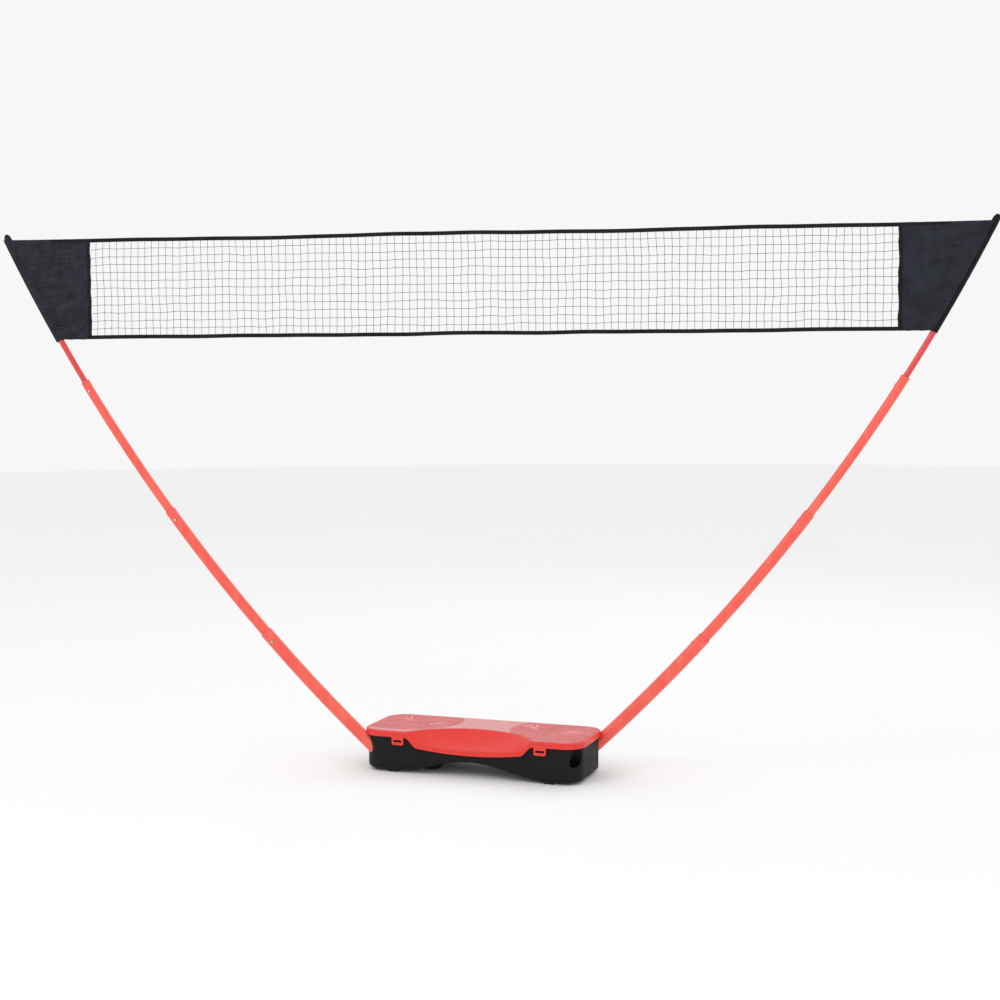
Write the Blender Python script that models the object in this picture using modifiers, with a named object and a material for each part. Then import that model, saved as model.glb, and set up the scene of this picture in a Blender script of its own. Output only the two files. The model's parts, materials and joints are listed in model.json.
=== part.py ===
"""A portable badminton net: a hinged carry case whose corner sockets hold two bowed telescopic poles,
with a net hung between the poles' top rods.

Metres, +Z up. The origin is on the ground under the middle of the case, +X runs along the case to its
right end and the handle side faces -Y. The object looks the same turned half a turn about Z, except for
the case's handle, latches and hinges.
"""

import math

import bmesh
import bpy
from mathutils import Matrix, Vector

GAP = 0.0003  # kept between pieces that touch

# ---- case ----
CASE_LENGTH = 0.706
CASE_WIDTH = 0.262
CASE_HEIGHT = 0.128
LID_CORNER = 0.062
RIM_HEIGHT = 0.018
BODY_INSET = 0.007  # the body stands in from the lid's edge all round
BODY_CORNER = LID_CORNER - BODY_INSET  # the same distance inside the lid all round
CASE_WALL = 0.0025
FOOT_HEIGHT = 0.007
FOOT_LENGTH = 0.030
FOOT_WIDTH = 0.016
FOOT_FROM_END = 0.103
FOOT_X = CASE_LENGTH / 2 - FOOT_FROM_END
FOOT_FROM_WALL = 0.016
BOTTOM_ROUND = 0.012
ARCH_HALF_SPAN = FOOT_X  # the arch springs from over the feet
ARCH_RISE = 0.039
WELL_PLACE = (0.148, -0.052)
WELL_RADII = (0.044, 0.036, 0.030)
WELL_BOTTOM = 0.0030

# ---- lid ----
LID_TOP_WALL = 0.0035
LID_SKIRT_WALL = 0.0035
LID_ROUND = 0.003
LID_CLEARANCE = 0.0003
PANEL_INSET = 0.007
PANEL_DEPTH = 0.0016
SCOOP_DEPTH_Y = 0.109
SCOOP_WALL = 0.0025
SCOOP_BORDER = 0.004  # the rim colour shows this far round the scoop
LIP_THICKNESS = 0.0085
LIP_DROP = 0.041
LIP_SHOULDER_DROP = 0.030
TROUGH_BELOW_LIP = 0.0065
HINGE_X = CASE_LENGTH / 2 - 0.153
HINGE_OUT = 0.0105  # hinge axis behind the body's rear wall
HINGE_DOWN = 0.0045  # hinge axis below the body's top edge
KNUCKLE_RADIUS = 0.0042
KNUCKLE_LENGTH = 0.014
WEB_STEP = 0.0006  # the knuckles' webs stop short of their ends
HINGE_PIN_RADIUS = 0.0016
RUNNING = 0.00015

# ---- latches ----
LATCH_X = CASE_LENGTH / 2 - 0.125
LATCH_WIDTH = 0.038
LATCH_HEIGHT = 0.0265
LATCH_THICKNESS = 0.003
LATCH_WINDOW = (LATCH_WIDTH - 0.011, 0.0062)
LATCH_WINDOW_DOWN = 0.0150
LATCH_BARREL = 0.0028
LATCH_PIN_RADIUS = 0.0011
LATCH_SIDE_GAP = 0.0004
LATCH_TURN_GAP = 0.0014  # round the barrel as it turns
LATCH_LUG = 0.0040  # how far the pin's bore runs into the lid at each side
CATCH_SIZE = (LATCH_WIDTH - 0.016, 0.0032)
SCOOP_FROM_LATCH = 0.004
SCOOP_HALF_WIDTH = LATCH_X - LATCH_WIDTH / 2 - SCOOP_FROM_LATCH
LIP_RAMP = 0.040  # how far along the case the lip takes to come down
LIP_SHOULDER = SCOOP_HALF_WIDTH - LIP_RAMP

# ---- poles: circular arcs in an upright plane ----
POLE_YAW = math.radians(9.5)
BEND_RADIUS = 5.445
SEAT_ANGLE = math.radians(42.5)  # slope of the pole where it is seated
SEAT_FROM_END = 0.063
SEAT_FROM_SIDE = 0.039246
SEAT_REACH = CASE_LENGTH / 2 - SEAT_FROM_END  # from the case's upright axis, along the pole's plane
# the pole's plane stands this far from the case's upright axis
POLE_OFFSET = (CASE_WIDTH / 2 - SEAT_FROM_SIDE - SEAT_REACH * math.sin(POLE_YAW)) / math.cos(POLE_YAW)
SEAT_HEIGHT = 0.0296
ROD_RADIUS = 0.009
RADIUS_STEPS = (0.00425, 0.0030, 0.00275)  # how much wider each tube is than the one it holds
TUBE_RADII = [ROD_RADIUS + sum(RADIUS_STEPS[:i]) for i in (3, 2, 1, 0)]
TUBE_WALLS = (0.0016, 0.0015, 0.0015, 0.0014)
FIRST_LENGTH = 0.5445
STEP_LENGTH = 0.485
ROD_LENGTH = 0.512
OVERLAP = 0.070
TUBE_SIDES = 16
TUBE_STEPS = 6
SLIDE_CLEARANCE = 0.00045
PLUG_FLANGE = 0.0042
PLUG_SPIGOT = 0.012
MOUTH_BUSH_LENGTH = 0.020
SOCKET_CLEARANCE = 0.0008
SOCKET_WALL = 0.0024
HOLE_CLEARANCE = 0.0006
LID_POLE_CLEARANCE = 0.0020
WALL_STRETCH = (0.030, 0.128)  # the stretch of a pole within which it passes the body's wall and the lid

# ---- snap buttons ----
BUTTON_FROM_MOUTH = 0.036
BUTTON_RADIUS = 0.0040
BUTTON_PROUD = 0.0025
BUTTON_FLANGE_RADIUS = BUTTON_RADIUS + 0.0014
BUTTON_FLANGE = 0.0012
BUTTON_HOLE_CLEARANCE = 0.0004
SPRING_WIDTH = 0.006
SPRING_THICKNESS = 0.0006
SPRING_LENGTH = 0.019

# ---- net ----
NET_HEIGHT = 0.311
NET_BELOW_TIP = 0.00513
NET_HOLD = 0.082  # the net's plane meets the poles this far in from their tips
WING_WIDTH = 0.2590
TAPE_HEIGHT = 0.012
TAPE_THICKNESS = 0.003
MESH_THICKNESS = 0.0012
WING_THICKNESS = 0.002
WING_FROM_POCKET = 0.0022
POCKET_CLEARANCE = 0.0008
POCKET_WALL = 0.0010
POCKET_BELOW_WING = 0.004
TIP_CAP_LENGTH = 0.014
TIP_CAP_PROUD = 0.0002  # the cap is this much wider than the rod, and passes down the pocket

BODY_BOTTOM = FOOT_HEIGHT
RIM_BOTTOM = CASE_HEIGHT - RIM_HEIGHT
BODY_LENGTH = CASE_LENGTH - 2 * BODY_INSET
BODY_WIDTH = CASE_WIDTH - 2 * BODY_INSET
FRONT = -CASE_WIDTH / 2
BODY_FRONT = -BODY_WIDTH / 2
HINGE_Y = BODY_WIDTH / 2 + HINGE_OUT
HINGE_Z = RIM_BOTTOM - HINGE_DOWN
POLES = {"left": (-1, -1), "right": (1, 1)}
CORNERS = {"front_left": (-1, -1), "front_right": (1, -1), "rear_left": (-1, 1), "rear_right": (1, 1)}
MOUTHS = [FIRST_LENGTH + STEP_LENGTH * i for i in range(3)]
ROD_TOP = MOUTHS[2] + ROD_LENGTH
TIP_ANGLE = SEAT_ANGLE + ROD_TOP / BEND_RADIUS
TIP_HEIGHT = SEAT_HEIGHT + BEND_RADIUS * (math.cos(SEAT_ANGLE) - math.cos(TIP_ANGLE))
TIP_REACH = SEAT_REACH + BEND_RADIUS * (math.sin(TIP_ANGLE) - math.sin(SEAT_ANGLE))
NET_YAW = POLE_YAW + math.atan2(POLE_OFFSET, TIP_REACH - NET_HOLD)
NET_TOP = TIP_HEIGHT - NET_BELOW_TIP
NET_BOTTOM = NET_TOP - NET_HEIGHT
MESH_HALF_WIDTH = TIP_REACH - WING_WIDTH
FLATS = math.cos(math.pi / TUBE_SIDES)  # how near a faceted bore's flats come to its centre line

for leftover in list(bpy.data.objects):
    bpy.data.objects.remove(leftover)

parts = bpy.data.collections.new("portable_badminton_net")
helpers = bpy.data.collections.new("cutters")
bpy.context.scene.collection.children.link(parts)
bpy.context.scene.collection.children.link(helpers)


# ---- materials ----

def material(name, colour, roughness, metallic=0.0):
    made = bpy.data.materials.new(name)
    made.use_nodes = True
    shader = made.node_tree.nodes["Principled BSDF"]
    shader.inputs["Base Color"].default_value = (*colour, 1.0)
    shader.inputs["Roughness"].default_value = roughness
    shader.inputs["Metallic"].default_value = metallic
    return made


RED = (0.83, 0.07, 0.05)
ROSE = (0.66, 0.21, 0.20)
BLACK = (0.022, 0.022, 0.024)
NYLON = (0.030, 0.032, 0.040)
STEEL = (0.62, 0.62, 0.60)


def finish(obj, colour, roughness, metallic=0.0):
    obj.data.materials.clear()
    obj.data.materials.append(material(obj.name, colour, roughness, metallic))
    return obj


# ---- shapes ----

def add(name, mesh, place=None, helper=False):
    obj = bpy.data.objects.new(name, mesh)
    (helpers if helper else parts).objects.link(obj)
    obj.matrix_world = place or Matrix.Identity(4)
    obj.hide_render = helper
    obj.display_type = "WIRE" if helper else "TEXTURED"
    return obj


def mesh_of(name, model):
    mesh = bpy.data.meshes.new(name)
    model.to_mesh(mesh)
    model.free()
    return mesh


def block(name, low, high, place=None, helper=False):
    """A box between two corners."""
    model = bmesh.new()
    bmesh.ops.create_cube(model, size=1.0)
    size = [b - a for a, b in zip(low, high)]
    middle = [(a + b) / 2 for a, b in zip(low, high)]
    sized = Matrix.Translation(middle) @ Matrix.Diagonal((*size, 1))
    bmesh.ops.transform(model, matrix=sized, verts=model.verts)
    return add(name, mesh_of(name, model), place, helper)


def rounded_block(name, length, width, corner, low, high, edge_round=0.0, edge_at=None, helper=False):
    """An upright block with round corners, and one of its level edges rounded."""
    model = bmesh.new()
    bmesh.ops.create_cube(model, size=1.0)
    place = Matrix.Translation((0, 0, (low + high) / 2)) @ Matrix.Diagonal((length, width, high - low, 1))
    bmesh.ops.transform(model, matrix=place, verts=model.verts)
    upright = [e for e in model.edges if abs(e.verts[0].co.z - e.verts[1].co.z) > (high - low) / 2]
    bmesh.ops.bevel(model, geom=upright, offset=corner, segments=7, profile=0.5, affect="EDGES")
    if edge_round:
        level = [e for e in model.edges if all(abs(v.co.z - edge_at) < 1e-6 for v in e.verts)]
        bmesh.ops.bevel(model, geom=level, offset=edge_round, segments=3, profile=0.5, affect="EDGES")
    return add(name, mesh_of(name, model), None, helper)


def rod(name, radius, start, end, sides=24, helper=False):
    """A cylinder between two points."""
    start, end = Vector(start), Vector(end)
    along = end - start
    model = bmesh.new()
    bmesh.ops.create_cone(
        model, cap_ends=True, segments=sides, radius1=radius, radius2=radius, depth=along.length
    )
    place = Matrix.Translation((start + end) / 2) @ along.to_track_quat("Z", "Y").to_matrix().to_4x4()
    return add(name, mesh_of(name, model), place, helper)


def outline_plate(name, points, thickness, place, helper=False):
    """A flat plate from an outline in its own X and Y, half its thickness to each side."""
    curve = bpy.data.curves.new(name, "CURVE")
    curve.dimensions = "2D"
    curve.fill_mode = "BOTH"
    curve.extrude = thickness / 2
    spline = curve.splines.new("POLY")
    spline.points.add(len(points) - 1)
    for point, (x, y) in zip(spline.points, points):
        point.co = (x, y, 0, 1)
    spline.use_cyclic_u = True
    drawn = bpy.data.objects.new(name + "_outline", curve)
    bpy.context.scene.collection.objects.link(drawn)
    bpy.context.view_layer.update()
    mesh = bpy.data.meshes.new_from_object(drawn.evaluated_get(bpy.context.evaluated_depsgraph_get()))
    bpy.data.objects.remove(drawn)
    model = bmesh.new()
    model.from_mesh(mesh)
    bmesh.ops.remove_doubles(model, verts=model.verts, dist=1e-6)
    bmesh.ops.recalc_face_normals(model, faces=model.faces)
    model.to_mesh(mesh)
    model.free()
    return add(name, mesh, place, helper)


def turned(name, profile, place, sides=24, helper=False):
    """A closed turned solid about its own Z, from (radius, height) points run top to bottom."""
    mesh = bpy.data.meshes.new(name)
    edges = [(i, i + 1) for i in range(len(profile) - 1)]
    mesh.from_pydata([(r, 0, z) for r, z in profile], edges, [])
    obj = add(name, mesh, place, helper)
    screw = obj.modifiers.new("Turn", "SCREW")
    screw.steps = screw.render_steps = sides
    screw.use_merge_vertices = True
    screw.merge_threshold = 0.00005
    screw.use_smooth_shade = not helper
    return obj


def ring_profile(inner, outer, low, high):
    """The closed section of a plain ring, run down its outer side."""
    return [(outer, high), (outer, low), (inner, low), (inner, high), (outer, high)]


def boolean(obj, other, operation):
    made = obj.modifiers.new(operation.title(), "BOOLEAN")
    made.operation = operation
    made.object = other
    return obj


def cut(obj, *cutters):
    for cutter in cutters:
        boolean(obj, cutter, "DIFFERENCE")
    return obj


def join(obj, *others):
    for other in others:
        boolean(obj, other, "UNION")
    return obj


def smooth(obj, angle=35):
    obj.data.shade_smooth()
    obj.data.set_sharp_from_angle(angle=math.radians(angle))
    return obj


# ---- the poles' geometry ----

def pole_frame(corner):
    """One corner's pole frame: origin at the arc's centre, Z the axis it turns about to slide outwards.

    The angle about Z from local X, which points down, is the pole's slope.
    """
    sx, sy = corner
    outward = Vector((sx * math.cos(POLE_YAW), sy * math.sin(POLE_YAW), 0))
    aside = Vector((-sx * math.sin(POLE_YAW), sy * math.cos(POLE_YAW), 0)) * POLE_OFFSET
    down = Vector((0, 0, -1))
    seat = outward * SEAT_REACH + aside + Vector((0, 0, SEAT_HEIGHT))
    centre = seat - BEND_RADIUS * (math.cos(SEAT_ANGLE) * down + math.sin(SEAT_ANGLE) * outward)
    axes = Matrix((down, outward, down.cross(outward))).transposed().to_4x4()
    return Matrix.Translation(centre) @ axes


def slope(along):
    """The pole's slope at a distance along it from the seat."""
    return SEAT_ANGLE + along / BEND_RADIUS


def pole_place(corner, along):
    """The frame at a distance along a pole: X away from the arc's centre, Y along it, Z across its plane."""
    turn = Matrix.Rotation(slope(along), 4, "Z")
    return pole_frame(corner) @ turn @ Matrix.Translation((BEND_RADIUS, 0, 0))


def pole_point(corner, along):
    return pole_place(corner, along).to_translation()


def along_pole(corner, along):
    """The frame at a distance along a pole, with Z along the pole."""
    return pole_place(corner, along) @ Matrix.Rotation(math.radians(-90), 4, "X")


def arc_tube(name, corner, start, end, radius, wall, steps=TUBE_STEPS):
    """A bowed tube between two distances along a pole. Its origin is the arc's centre."""
    model = bmesh.new()
    bmesh.ops.create_circle(model, segments=TUBE_SIDES, radius=radius)
    upright = Matrix.Translation((BEND_RADIUS, 0, 0)) @ Matrix.Rotation(math.radians(90), 4, "X")
    bmesh.ops.transform(model, matrix=upright, verts=model.verts)
    place = pole_frame(corner) @ Matrix.Rotation(slope(start), 4, "Z")
    obj = add(name, mesh_of(name, model), place)
    screw = obj.modifiers.new("Bow", "SCREW")
    screw.angle = (end - start) / BEND_RADIUS
    screw.steps = screw.render_steps = steps
    screw.use_merge_vertices = False
    shell = obj.modifiers.new("Wall", "SOLIDIFY")
    shell.thickness = wall
    shell.offset = -1
    return obj


def pole_cutter(name, corner, radius, start, end):
    """A straight cylinder on the chord of a short stretch of a pole."""
    return rod(name, radius, pole_point(corner, start), pole_point(corner, end), 32, helper=True)


# ---- case body ----

def lip_low(x):
    """The lid's lower front edge: level at the ends, a ramp each side and a shallow bow between."""
    away = abs(x)
    if away >= SCOOP_HALF_WIDTH:
        return RIM_BOTTOM
    if away >= LIP_SHOULDER:
        share = (SCOOP_HALF_WIDTH - away) / (SCOOP_HALF_WIDTH - LIP_SHOULDER)
        return RIM_BOTTOM - LIP_SHOULDER_DROP * share
    bow = 1 - (away / LIP_SHOULDER) ** 2
    return RIM_BOTTOM - LIP_SHOULDER_DROP - (LIP_DROP - LIP_SHOULDER_DROP) * bow


def lip_points(shift):
    """The lower front edge from left to right, moved up by shift."""
    xs = [-SCOOP_HALF_WIDTH, *[LIP_SHOULDER * (i / 7 - 1) for i in range(15)], SCOOP_HALF_WIDTH]
    return [(x, lip_low(x) + shift) for x in xs]


def arch_height(x):
    return BODY_BOTTOM + ARCH_RISE * (0.5 + 0.5 * math.cos(math.pi * x / ARCH_HALF_SPAN))


def arch_points(shift):
    return [(x, arch_height(x) + shift) for x in [ARCH_HALF_SPAN * (i / 12 - 1) for i in range(25)]]


FACING_FRONT = Matrix.Rotation(math.radians(90), 4, "X")  # an outline's X and Y become X and Z


def across(y):
    return Matrix.Translation((0, y, 0)) @ FACING_FRONT


def arch_cutter(name, shift, width):
    below = [(ARCH_HALF_SPAN, -0.02), (-ARCH_HALF_SPAN, -0.02)]
    return outline_plate(name, arch_points(shift) + below, width, across(0), helper=True)


def inner_block(name, clearance):
    """The room inside the body's walls, less the raised floor over the arch."""
    inset = CASE_WALL + clearance
    room = rounded_block(
        name, BODY_LENGTH - 2 * inset, BODY_WIDTH - 2 * inset, BODY_CORNER - inset,
        BODY_BOTTOM + inset, CASE_HEIGHT + 0.02, BOTTOM_ROUND - CASE_WALL, BODY_BOTTOM + inset, helper=True,
    )
    return cut(room, arch_cutter(name + "_arch", inset, CASE_WIDTH))


def well(name, grow):
    """The rounded pocket in the floor that hangs under the arch."""
    x, y = WELL_PLACE
    radii = [r + grow for r in WELL_RADII]
    centre = (-x, y, WELL_BOTTOM + WELL_RADII[2])
    model = bmesh.new()
    bmesh.ops.create_uvsphere(model, u_segments=20, v_segments=12, radius=1.0)
    place = Matrix.Translation(centre) @ Matrix.Diagonal((*radii, 1))
    bmesh.ops.transform(model, matrix=place, verts=model.verts)
    return add(name, mesh_of(name, model), None, helper=True)


def case_base():
    base = rounded_block(
        "case_base", BODY_LENGTH, BODY_WIDTH, BODY_CORNER, BODY_BOTTOM, RIM_BOTTOM, BOTTOM_ROUND, BODY_BOTTOM
    )
    cut(base, arch_cutter("arch", 0.0, CASE_WIDTH))
    join(base, well("well_skin", 0.0))
    cut(base, inner_block("room", 0.0), well("well_room", -CASE_WALL))
    above = [(SCOOP_HALF_WIDTH, CASE_HEIGHT), (-SCOOP_HALF_WIDTH, CASE_HEIGHT)]
    low_front = outline_plate(
        "front_dip", lip_points(-LID_CLEARANCE) + above, 0.04, across(BODY_FRONT), helper=True
    )
    cut(base, low_front)
    for name, corner in CORNERS.items():
        cut(base, pole_cutter("hole_" + name, corner, TUBE_RADII[0] + HOLE_CLEARANCE, *WALL_STRETCH))
    for side in (-1, 1):
        for place in (-1, 1):
            middle = side * HINGE_X + place * (KNUCKLE_LENGTH + 2 * GAP)
            ends = middle - KNUCKLE_LENGTH / 2, middle + KNUCKLE_LENGTH / 2
            wall_y = BODY_WIDTH / 2 - CASE_WALL / 2
            join(base, block(
                "base_knuckle_web", (ends[0] + WEB_STEP, wall_y, HINGE_Z - KNUCKLE_RADIUS * 0.9),
                (ends[1] - WEB_STEP, HINGE_Y, HINGE_Z + KNUCKLE_RADIUS * 0.5), helper=True,
            ))
            join(base, rod(
                "base_knuckle", KNUCKLE_RADIUS, (ends[0], HINGE_Y, HINGE_Z), (ends[1], HINGE_Y, HINGE_Z),
                16, helper=True,
            ))
        catch_z = latch_axis()[1] - LATCH_WINDOW_DOWN
        half = CATCH_SIZE[0] / 2, CATCH_SIZE[1] / 2
        join(base, block(
            "catch", (side * LATCH_X - half[0], FRONT + LATCH_THICKNESS + GAP, catch_z - half[1]),
            (side * LATCH_X + half[0], BODY_FRONT + CASE_WALL / 2, catch_z + half[1]), helper=True,
        ))
    bore = HINGE_PIN_RADIUS + RUNNING
    for side in (-1, 1):
        reach = KNUCKLE_LENGTH * 2
        cut(base, rod(
            "base_bore", bore, (side * HINGE_X - reach, HINGE_Y, HINGE_Z),
            (side * HINGE_X + reach, HINGE_Y, HINGE_Z), 16, helper=True,
        ))
    return finish(smooth(base), BLACK, 0.55)


def feet():
    y = BODY_WIDTH / 2 - FOOT_FROM_WALL
    for name, (sx, sy) in CORNERS.items():
        low = sx * FOOT_X - FOOT_LENGTH / 2, sy * y - FOOT_WIDTH / 2, 0
        high = sx * FOOT_X + FOOT_LENGTH / 2, sy * y + FOOT_WIDTH / 2, FOOT_HEIGHT - GAP
        finish(block("foot_" + name, low, high), BLACK, 0.8)


def sockets():
    outer = TUBE_RADII[0] + SOCKET_CLEARANCE + SOCKET_WALL
    for name, corner in CORNERS.items():
        ends = pole_point(corner, -0.003), pole_point(corner, WALL_STRETCH[1])
        socket = rod("socket_" + name, outer, *ends, 24)
        boolean(socket, inner_block("inside_" + name, GAP), "INTERSECT")
        bore = pole_cutter(
            "socket_bore_" + name, corner, TUBE_RADII[0] + SOCKET_CLEARANCE, -GAP, WALL_STRETCH[1]
        )
        cut(socket, bore)
        finish(smooth(socket), BLACK, 0.5)


def hinge_pins():
    reach = KNUCKLE_LENGTH * 1.5 + 2 * GAP
    for side, sx in (("left", -1), ("right", 1)):
        ends = (sx * HINGE_X - reach, HINGE_Y, HINGE_Z), (sx * HINGE_X + reach, HINGE_Y, HINGE_Z)
        finish(smooth(rod("hinge_pin_" + side, HINGE_PIN_RADIUS, *ends, 12)), STEEL, 0.3, 1.0)


# ---- lid ----

def scoop_profile(grow):
    """The turned section of the hand scoop: a sloping wall, a round foot and a level trough."""
    reach = scoop_radius()
    trough = RIM_BOTTOM - LIP_DROP + RIM_HEIGHT - TROUGH_BELOW_LIP
    drop = CASE_HEIGHT - trough
    steps = [(1.06, -0.7), (1.0, 0.0), (0.93, 0.30), (0.83, 0.60), (0.73, 0.82), (0.66, 0.95), (0.60, 1.0)]
    wall = [(reach * r + grow * 0.7, CASE_HEIGHT - drop * z - grow) for r, z in steps]
    return [(0, wall[0][1]), *wall, (0, trough - grow)]


def scoop_radius():
    """The scoop's edge is an arc through the lip's two ends and the scoop's deepest point."""
    return (SCOOP_HALF_WIDTH**2 + SCOOP_DEPTH_Y**2) / (2 * SCOOP_DEPTH_Y)


def scoop(name, grow):
    centre = (0, FRONT + SCOOP_DEPTH_Y - scoop_radius(), 0)
    return turned(name, scoop_profile(grow), Matrix.Translation(centre), 72, helper=True)


def front_prism(name, points, low_y, high_y):
    middle = (low_y + high_y) / 2
    return outline_plate(name, points, high_y - low_y, across(middle), helper=True)


def lid_shell():
    bottom = RIM_BOTTOM + LID_CLEARANCE
    lid = rounded_block(
        "lid_shell", CASE_LENGTH, CASE_WIDTH, LID_CORNER, bottom, CASE_HEIGHT, LID_ROUND, CASE_HEIGHT
    )
    half = SCOOP_HALF_WIDTH
    closing = [(half, bottom + RIM_HEIGHT / 2), (-half, bottom + RIM_HEIGHT / 2)]
    join(lid, front_prism("apron", lip_points(0.0) + closing, FRONT, FRONT + SCOOP_DEPTH_Y - 0.006))
    lip_back = FRONT + LIP_THICKNESS
    scoop_room = scoop("scoop_room", 0.0)
    cut(scoop_room, block("keep_lip", (-1, -1, -1), (1, lip_back, 1), helper=True))
    top = [(half + 0.03, CASE_HEIGHT + 0.04), (-half - 0.03, CASE_HEIGHT + 0.04)]
    ends = [(-half - 0.03, CASE_HEIGHT + 0.001), *lip_points(RIM_HEIGHT), (half + 0.03, CASE_HEIGHT + 0.001)]
    above_lip = front_prism("above_lip", ends + top, FRONT - 0.02, lip_back + 0.0002)
    cut(lid, scoop_room, above_lip)
    skirt = LID_SKIRT_WALL
    under = rounded_block(
        "lid_room", CASE_LENGTH - 2 * skirt, CASE_WIDTH - 2 * skirt, LID_CORNER - skirt,
        0.03, CASE_HEIGHT - LID_TOP_WALL, helper=True,
    )
    cut(under, scoop("scoop_skin", SCOOP_WALL))
    cut(under, block("lip_root", (-1, -1, -1), (1, lip_back + 0.002, 1), helper=True))
    cut(lid, under)
    cut(lid, panel_room("panel_recess", GAP))
    notch_half = LATCH_WIDTH / 2 + LATCH_SIDE_GAP
    notch_reach = LATCH_BARREL + LATCH_TURN_GAP
    for side in (-1, 1):
        cut(lid, block(
            "latch_notch", (side * LATCH_X - notch_half, FRONT - 0.01, bottom - 0.01),
            (side * LATCH_X + notch_half, latch_axis()[0] + notch_reach, latch_axis()[1] + notch_reach),
            helper=True,
        ))
        lug_half = notch_half + LATCH_LUG
        pin_room = rod(
            "latch_bore", LATCH_PIN_RADIUS + RUNNING, (side * LATCH_X - lug_half, *latch_axis()),
            (side * LATCH_X + lug_half, *latch_axis()), 12, helper=True,
        )
        cut(lid, pin_room)
        x = side * HINGE_X
        web_low = (x - KNUCKLE_LENGTH / 2 + WEB_STEP, HINGE_Y - KNUCKLE_RADIUS * 0.9, HINGE_Z)
        web_high = (x + KNUCKLE_LENGTH / 2 - WEB_STEP, HINGE_Y + KNUCKLE_RADIUS * 0.7, bottom + 0.004)
        join(lid, block("lid_knuckle_web", web_low, web_high, helper=True))
        join(lid, rod(
            "lid_knuckle", KNUCKLE_RADIUS, (x - KNUCKLE_LENGTH / 2, HINGE_Y, HINGE_Z),
            (x + KNUCKLE_LENGTH / 2, HINGE_Y, HINGE_Z), 16, helper=True,
        ))
        cut(lid, rod(
            "lid_bore", HINGE_PIN_RADIUS + RUNNING, (x - KNUCKLE_LENGTH, HINGE_Y, HINGE_Z),
            (x + KNUCKLE_LENGTH, HINGE_Y, HINGE_Z), 16, helper=True,
        ))
    for name, corner in POLES.items():
        cut(lid, pole_cutter("lid_notch_" + name, corner, TUBE_RADII[0] + LID_POLE_CLEARANCE, *WALL_STRETCH))
    return finish(smooth(lid), RED, 0.35)


def panel_room(name, grow):
    """The space of the lid's inlaid panel: the lid's outline stepped in, less the scoop and its border."""
    inset = PANEL_INSET - grow
    room = rounded_block(
        name, CASE_LENGTH - 2 * inset, CASE_WIDTH - 2 * inset, LID_CORNER - inset,
        CASE_HEIGHT - PANEL_DEPTH - grow, CASE_HEIGHT + (0.01 if grow else -0.0002), helper=bool(grow),
    )
    reach = scoop_radius() + SCOOP_BORDER - grow
    border = turned(
        name + "_border", [(0, 0.2), (reach, 0.2), (reach, 0.05), (0, 0.05)],
        Matrix.Translation((0, FRONT + SCOOP_DEPTH_Y - scoop_radius(), 0)), 72, helper=True,
    )
    return cut(room, border)


def lid_panel():
    panel = panel_room("lid_panel", 0.0)
    return finish(panel, ROSE, 0.45)


def latch_axis():
    """The latches' axis as (y, z): inside the rim, near the lid's front face."""
    return FRONT + LATCH_BARREL + LATCH_SIDE_GAP, RIM_BOTTOM + LATCH_BARREL + 0.0010


def latches():
    y, z = latch_axis()
    for side, sx in (("left", -1), ("right", 1)):
        x = sx * LATCH_X
        place = Matrix.Translation((x, y, z))
        half = LATCH_WIDTH / 2
        flap = block(
            "latch_" + side, (-half, FRONT - y, -LATCH_HEIGHT),
            (half, FRONT - y + LATCH_THICKNESS, 0), place,
        )
        join(flap, rod(
            "latch_barrel", LATCH_BARREL, (x - half, y, z), (x + half, y, z), 16, helper=True,
        ))
        window_z = -LATCH_WINDOW_DOWN
        cut(flap, block(
            "latch_window", (x - LATCH_WINDOW[0] / 2, FRONT - 0.01, z + window_z - LATCH_WINDOW[1] / 2),
            (x + LATCH_WINDOW[0] / 2, FRONT + 0.01, z + window_z + LATCH_WINDOW[1] / 2), helper=True,
        ))
        cut(flap, rod(
            "latch_bore", LATCH_PIN_RADIUS + RUNNING, (x - half - 0.01, y, z), (x + half + 0.01, y, z),
            12, helper=True,
        ))
        finish(flap, RED, 0.35)
        reach = half + LATCH_SIDE_GAP + LATCH_LUG - GAP
        pin = rod("latch_pin_" + side, LATCH_PIN_RADIUS, (x - reach, y, z), (x + reach, y, z), 10)
        finish(pin, STEEL, 0.3, 1.0)


# ---- poles ----

def tube_span(number):
    """(start, end) of a tube along the pole, counted from 1 at the bottom."""
    if number == 1:
        return PLUG_FLANGE + GAP, MOUTHS[0]
    start = MOUTHS[number - 2] - OVERLAP
    return start, MOUTHS[number - 1] if number < 4 else ROD_TOP


def button_heading(side):
    """The way a pole's buttons face in pole_place's frame: the left's to the front, the right's inwards."""
    return Vector((0, 0, -1)) if side == "left" else Vector((-1, 0, 0))


def button_frame(side, number):
    """A snap button's frame: origin on the tube's centre line, Z the way it faces, X down the pole."""
    place = pole_place(POLES[side], MOUTHS[number - 1] - BUTTON_FROM_MOUTH)
    facing = button_heading(side)
    down_pole = Vector((0, -1, 0))
    turn = Matrix((down_pole, facing.cross(down_pole), facing)).transposed().to_4x4()
    return place @ turn


def inner_radius(number):
    return TUBE_RADII[number - 1] - TUBE_WALLS[number - 1]


def tubes(side):
    corner = POLES[side]
    for number in range(1, 5):
        start, end = tube_span(number)
        tube = arc_tube(
            f"pole_{side}_tube_{number}", corner, start, end, TUBE_RADII[number - 1], TUBE_WALLS[number - 1]
        )
        for hole in {number - 1, number} & {1, 2, 3}:
            hole_place = button_frame(side, hole)
            reach = hole_place @ Vector((0, 0, TUBE_RADII[0] * 2))
            cut(tube, rod(
                "button_hole", BUTTON_RADIUS + BUTTON_HOLE_CLEARANCE, hole_place.to_translation(), reach,
                16, helper=True,
            ))
        finish(tube, RED, 0.35)


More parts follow.
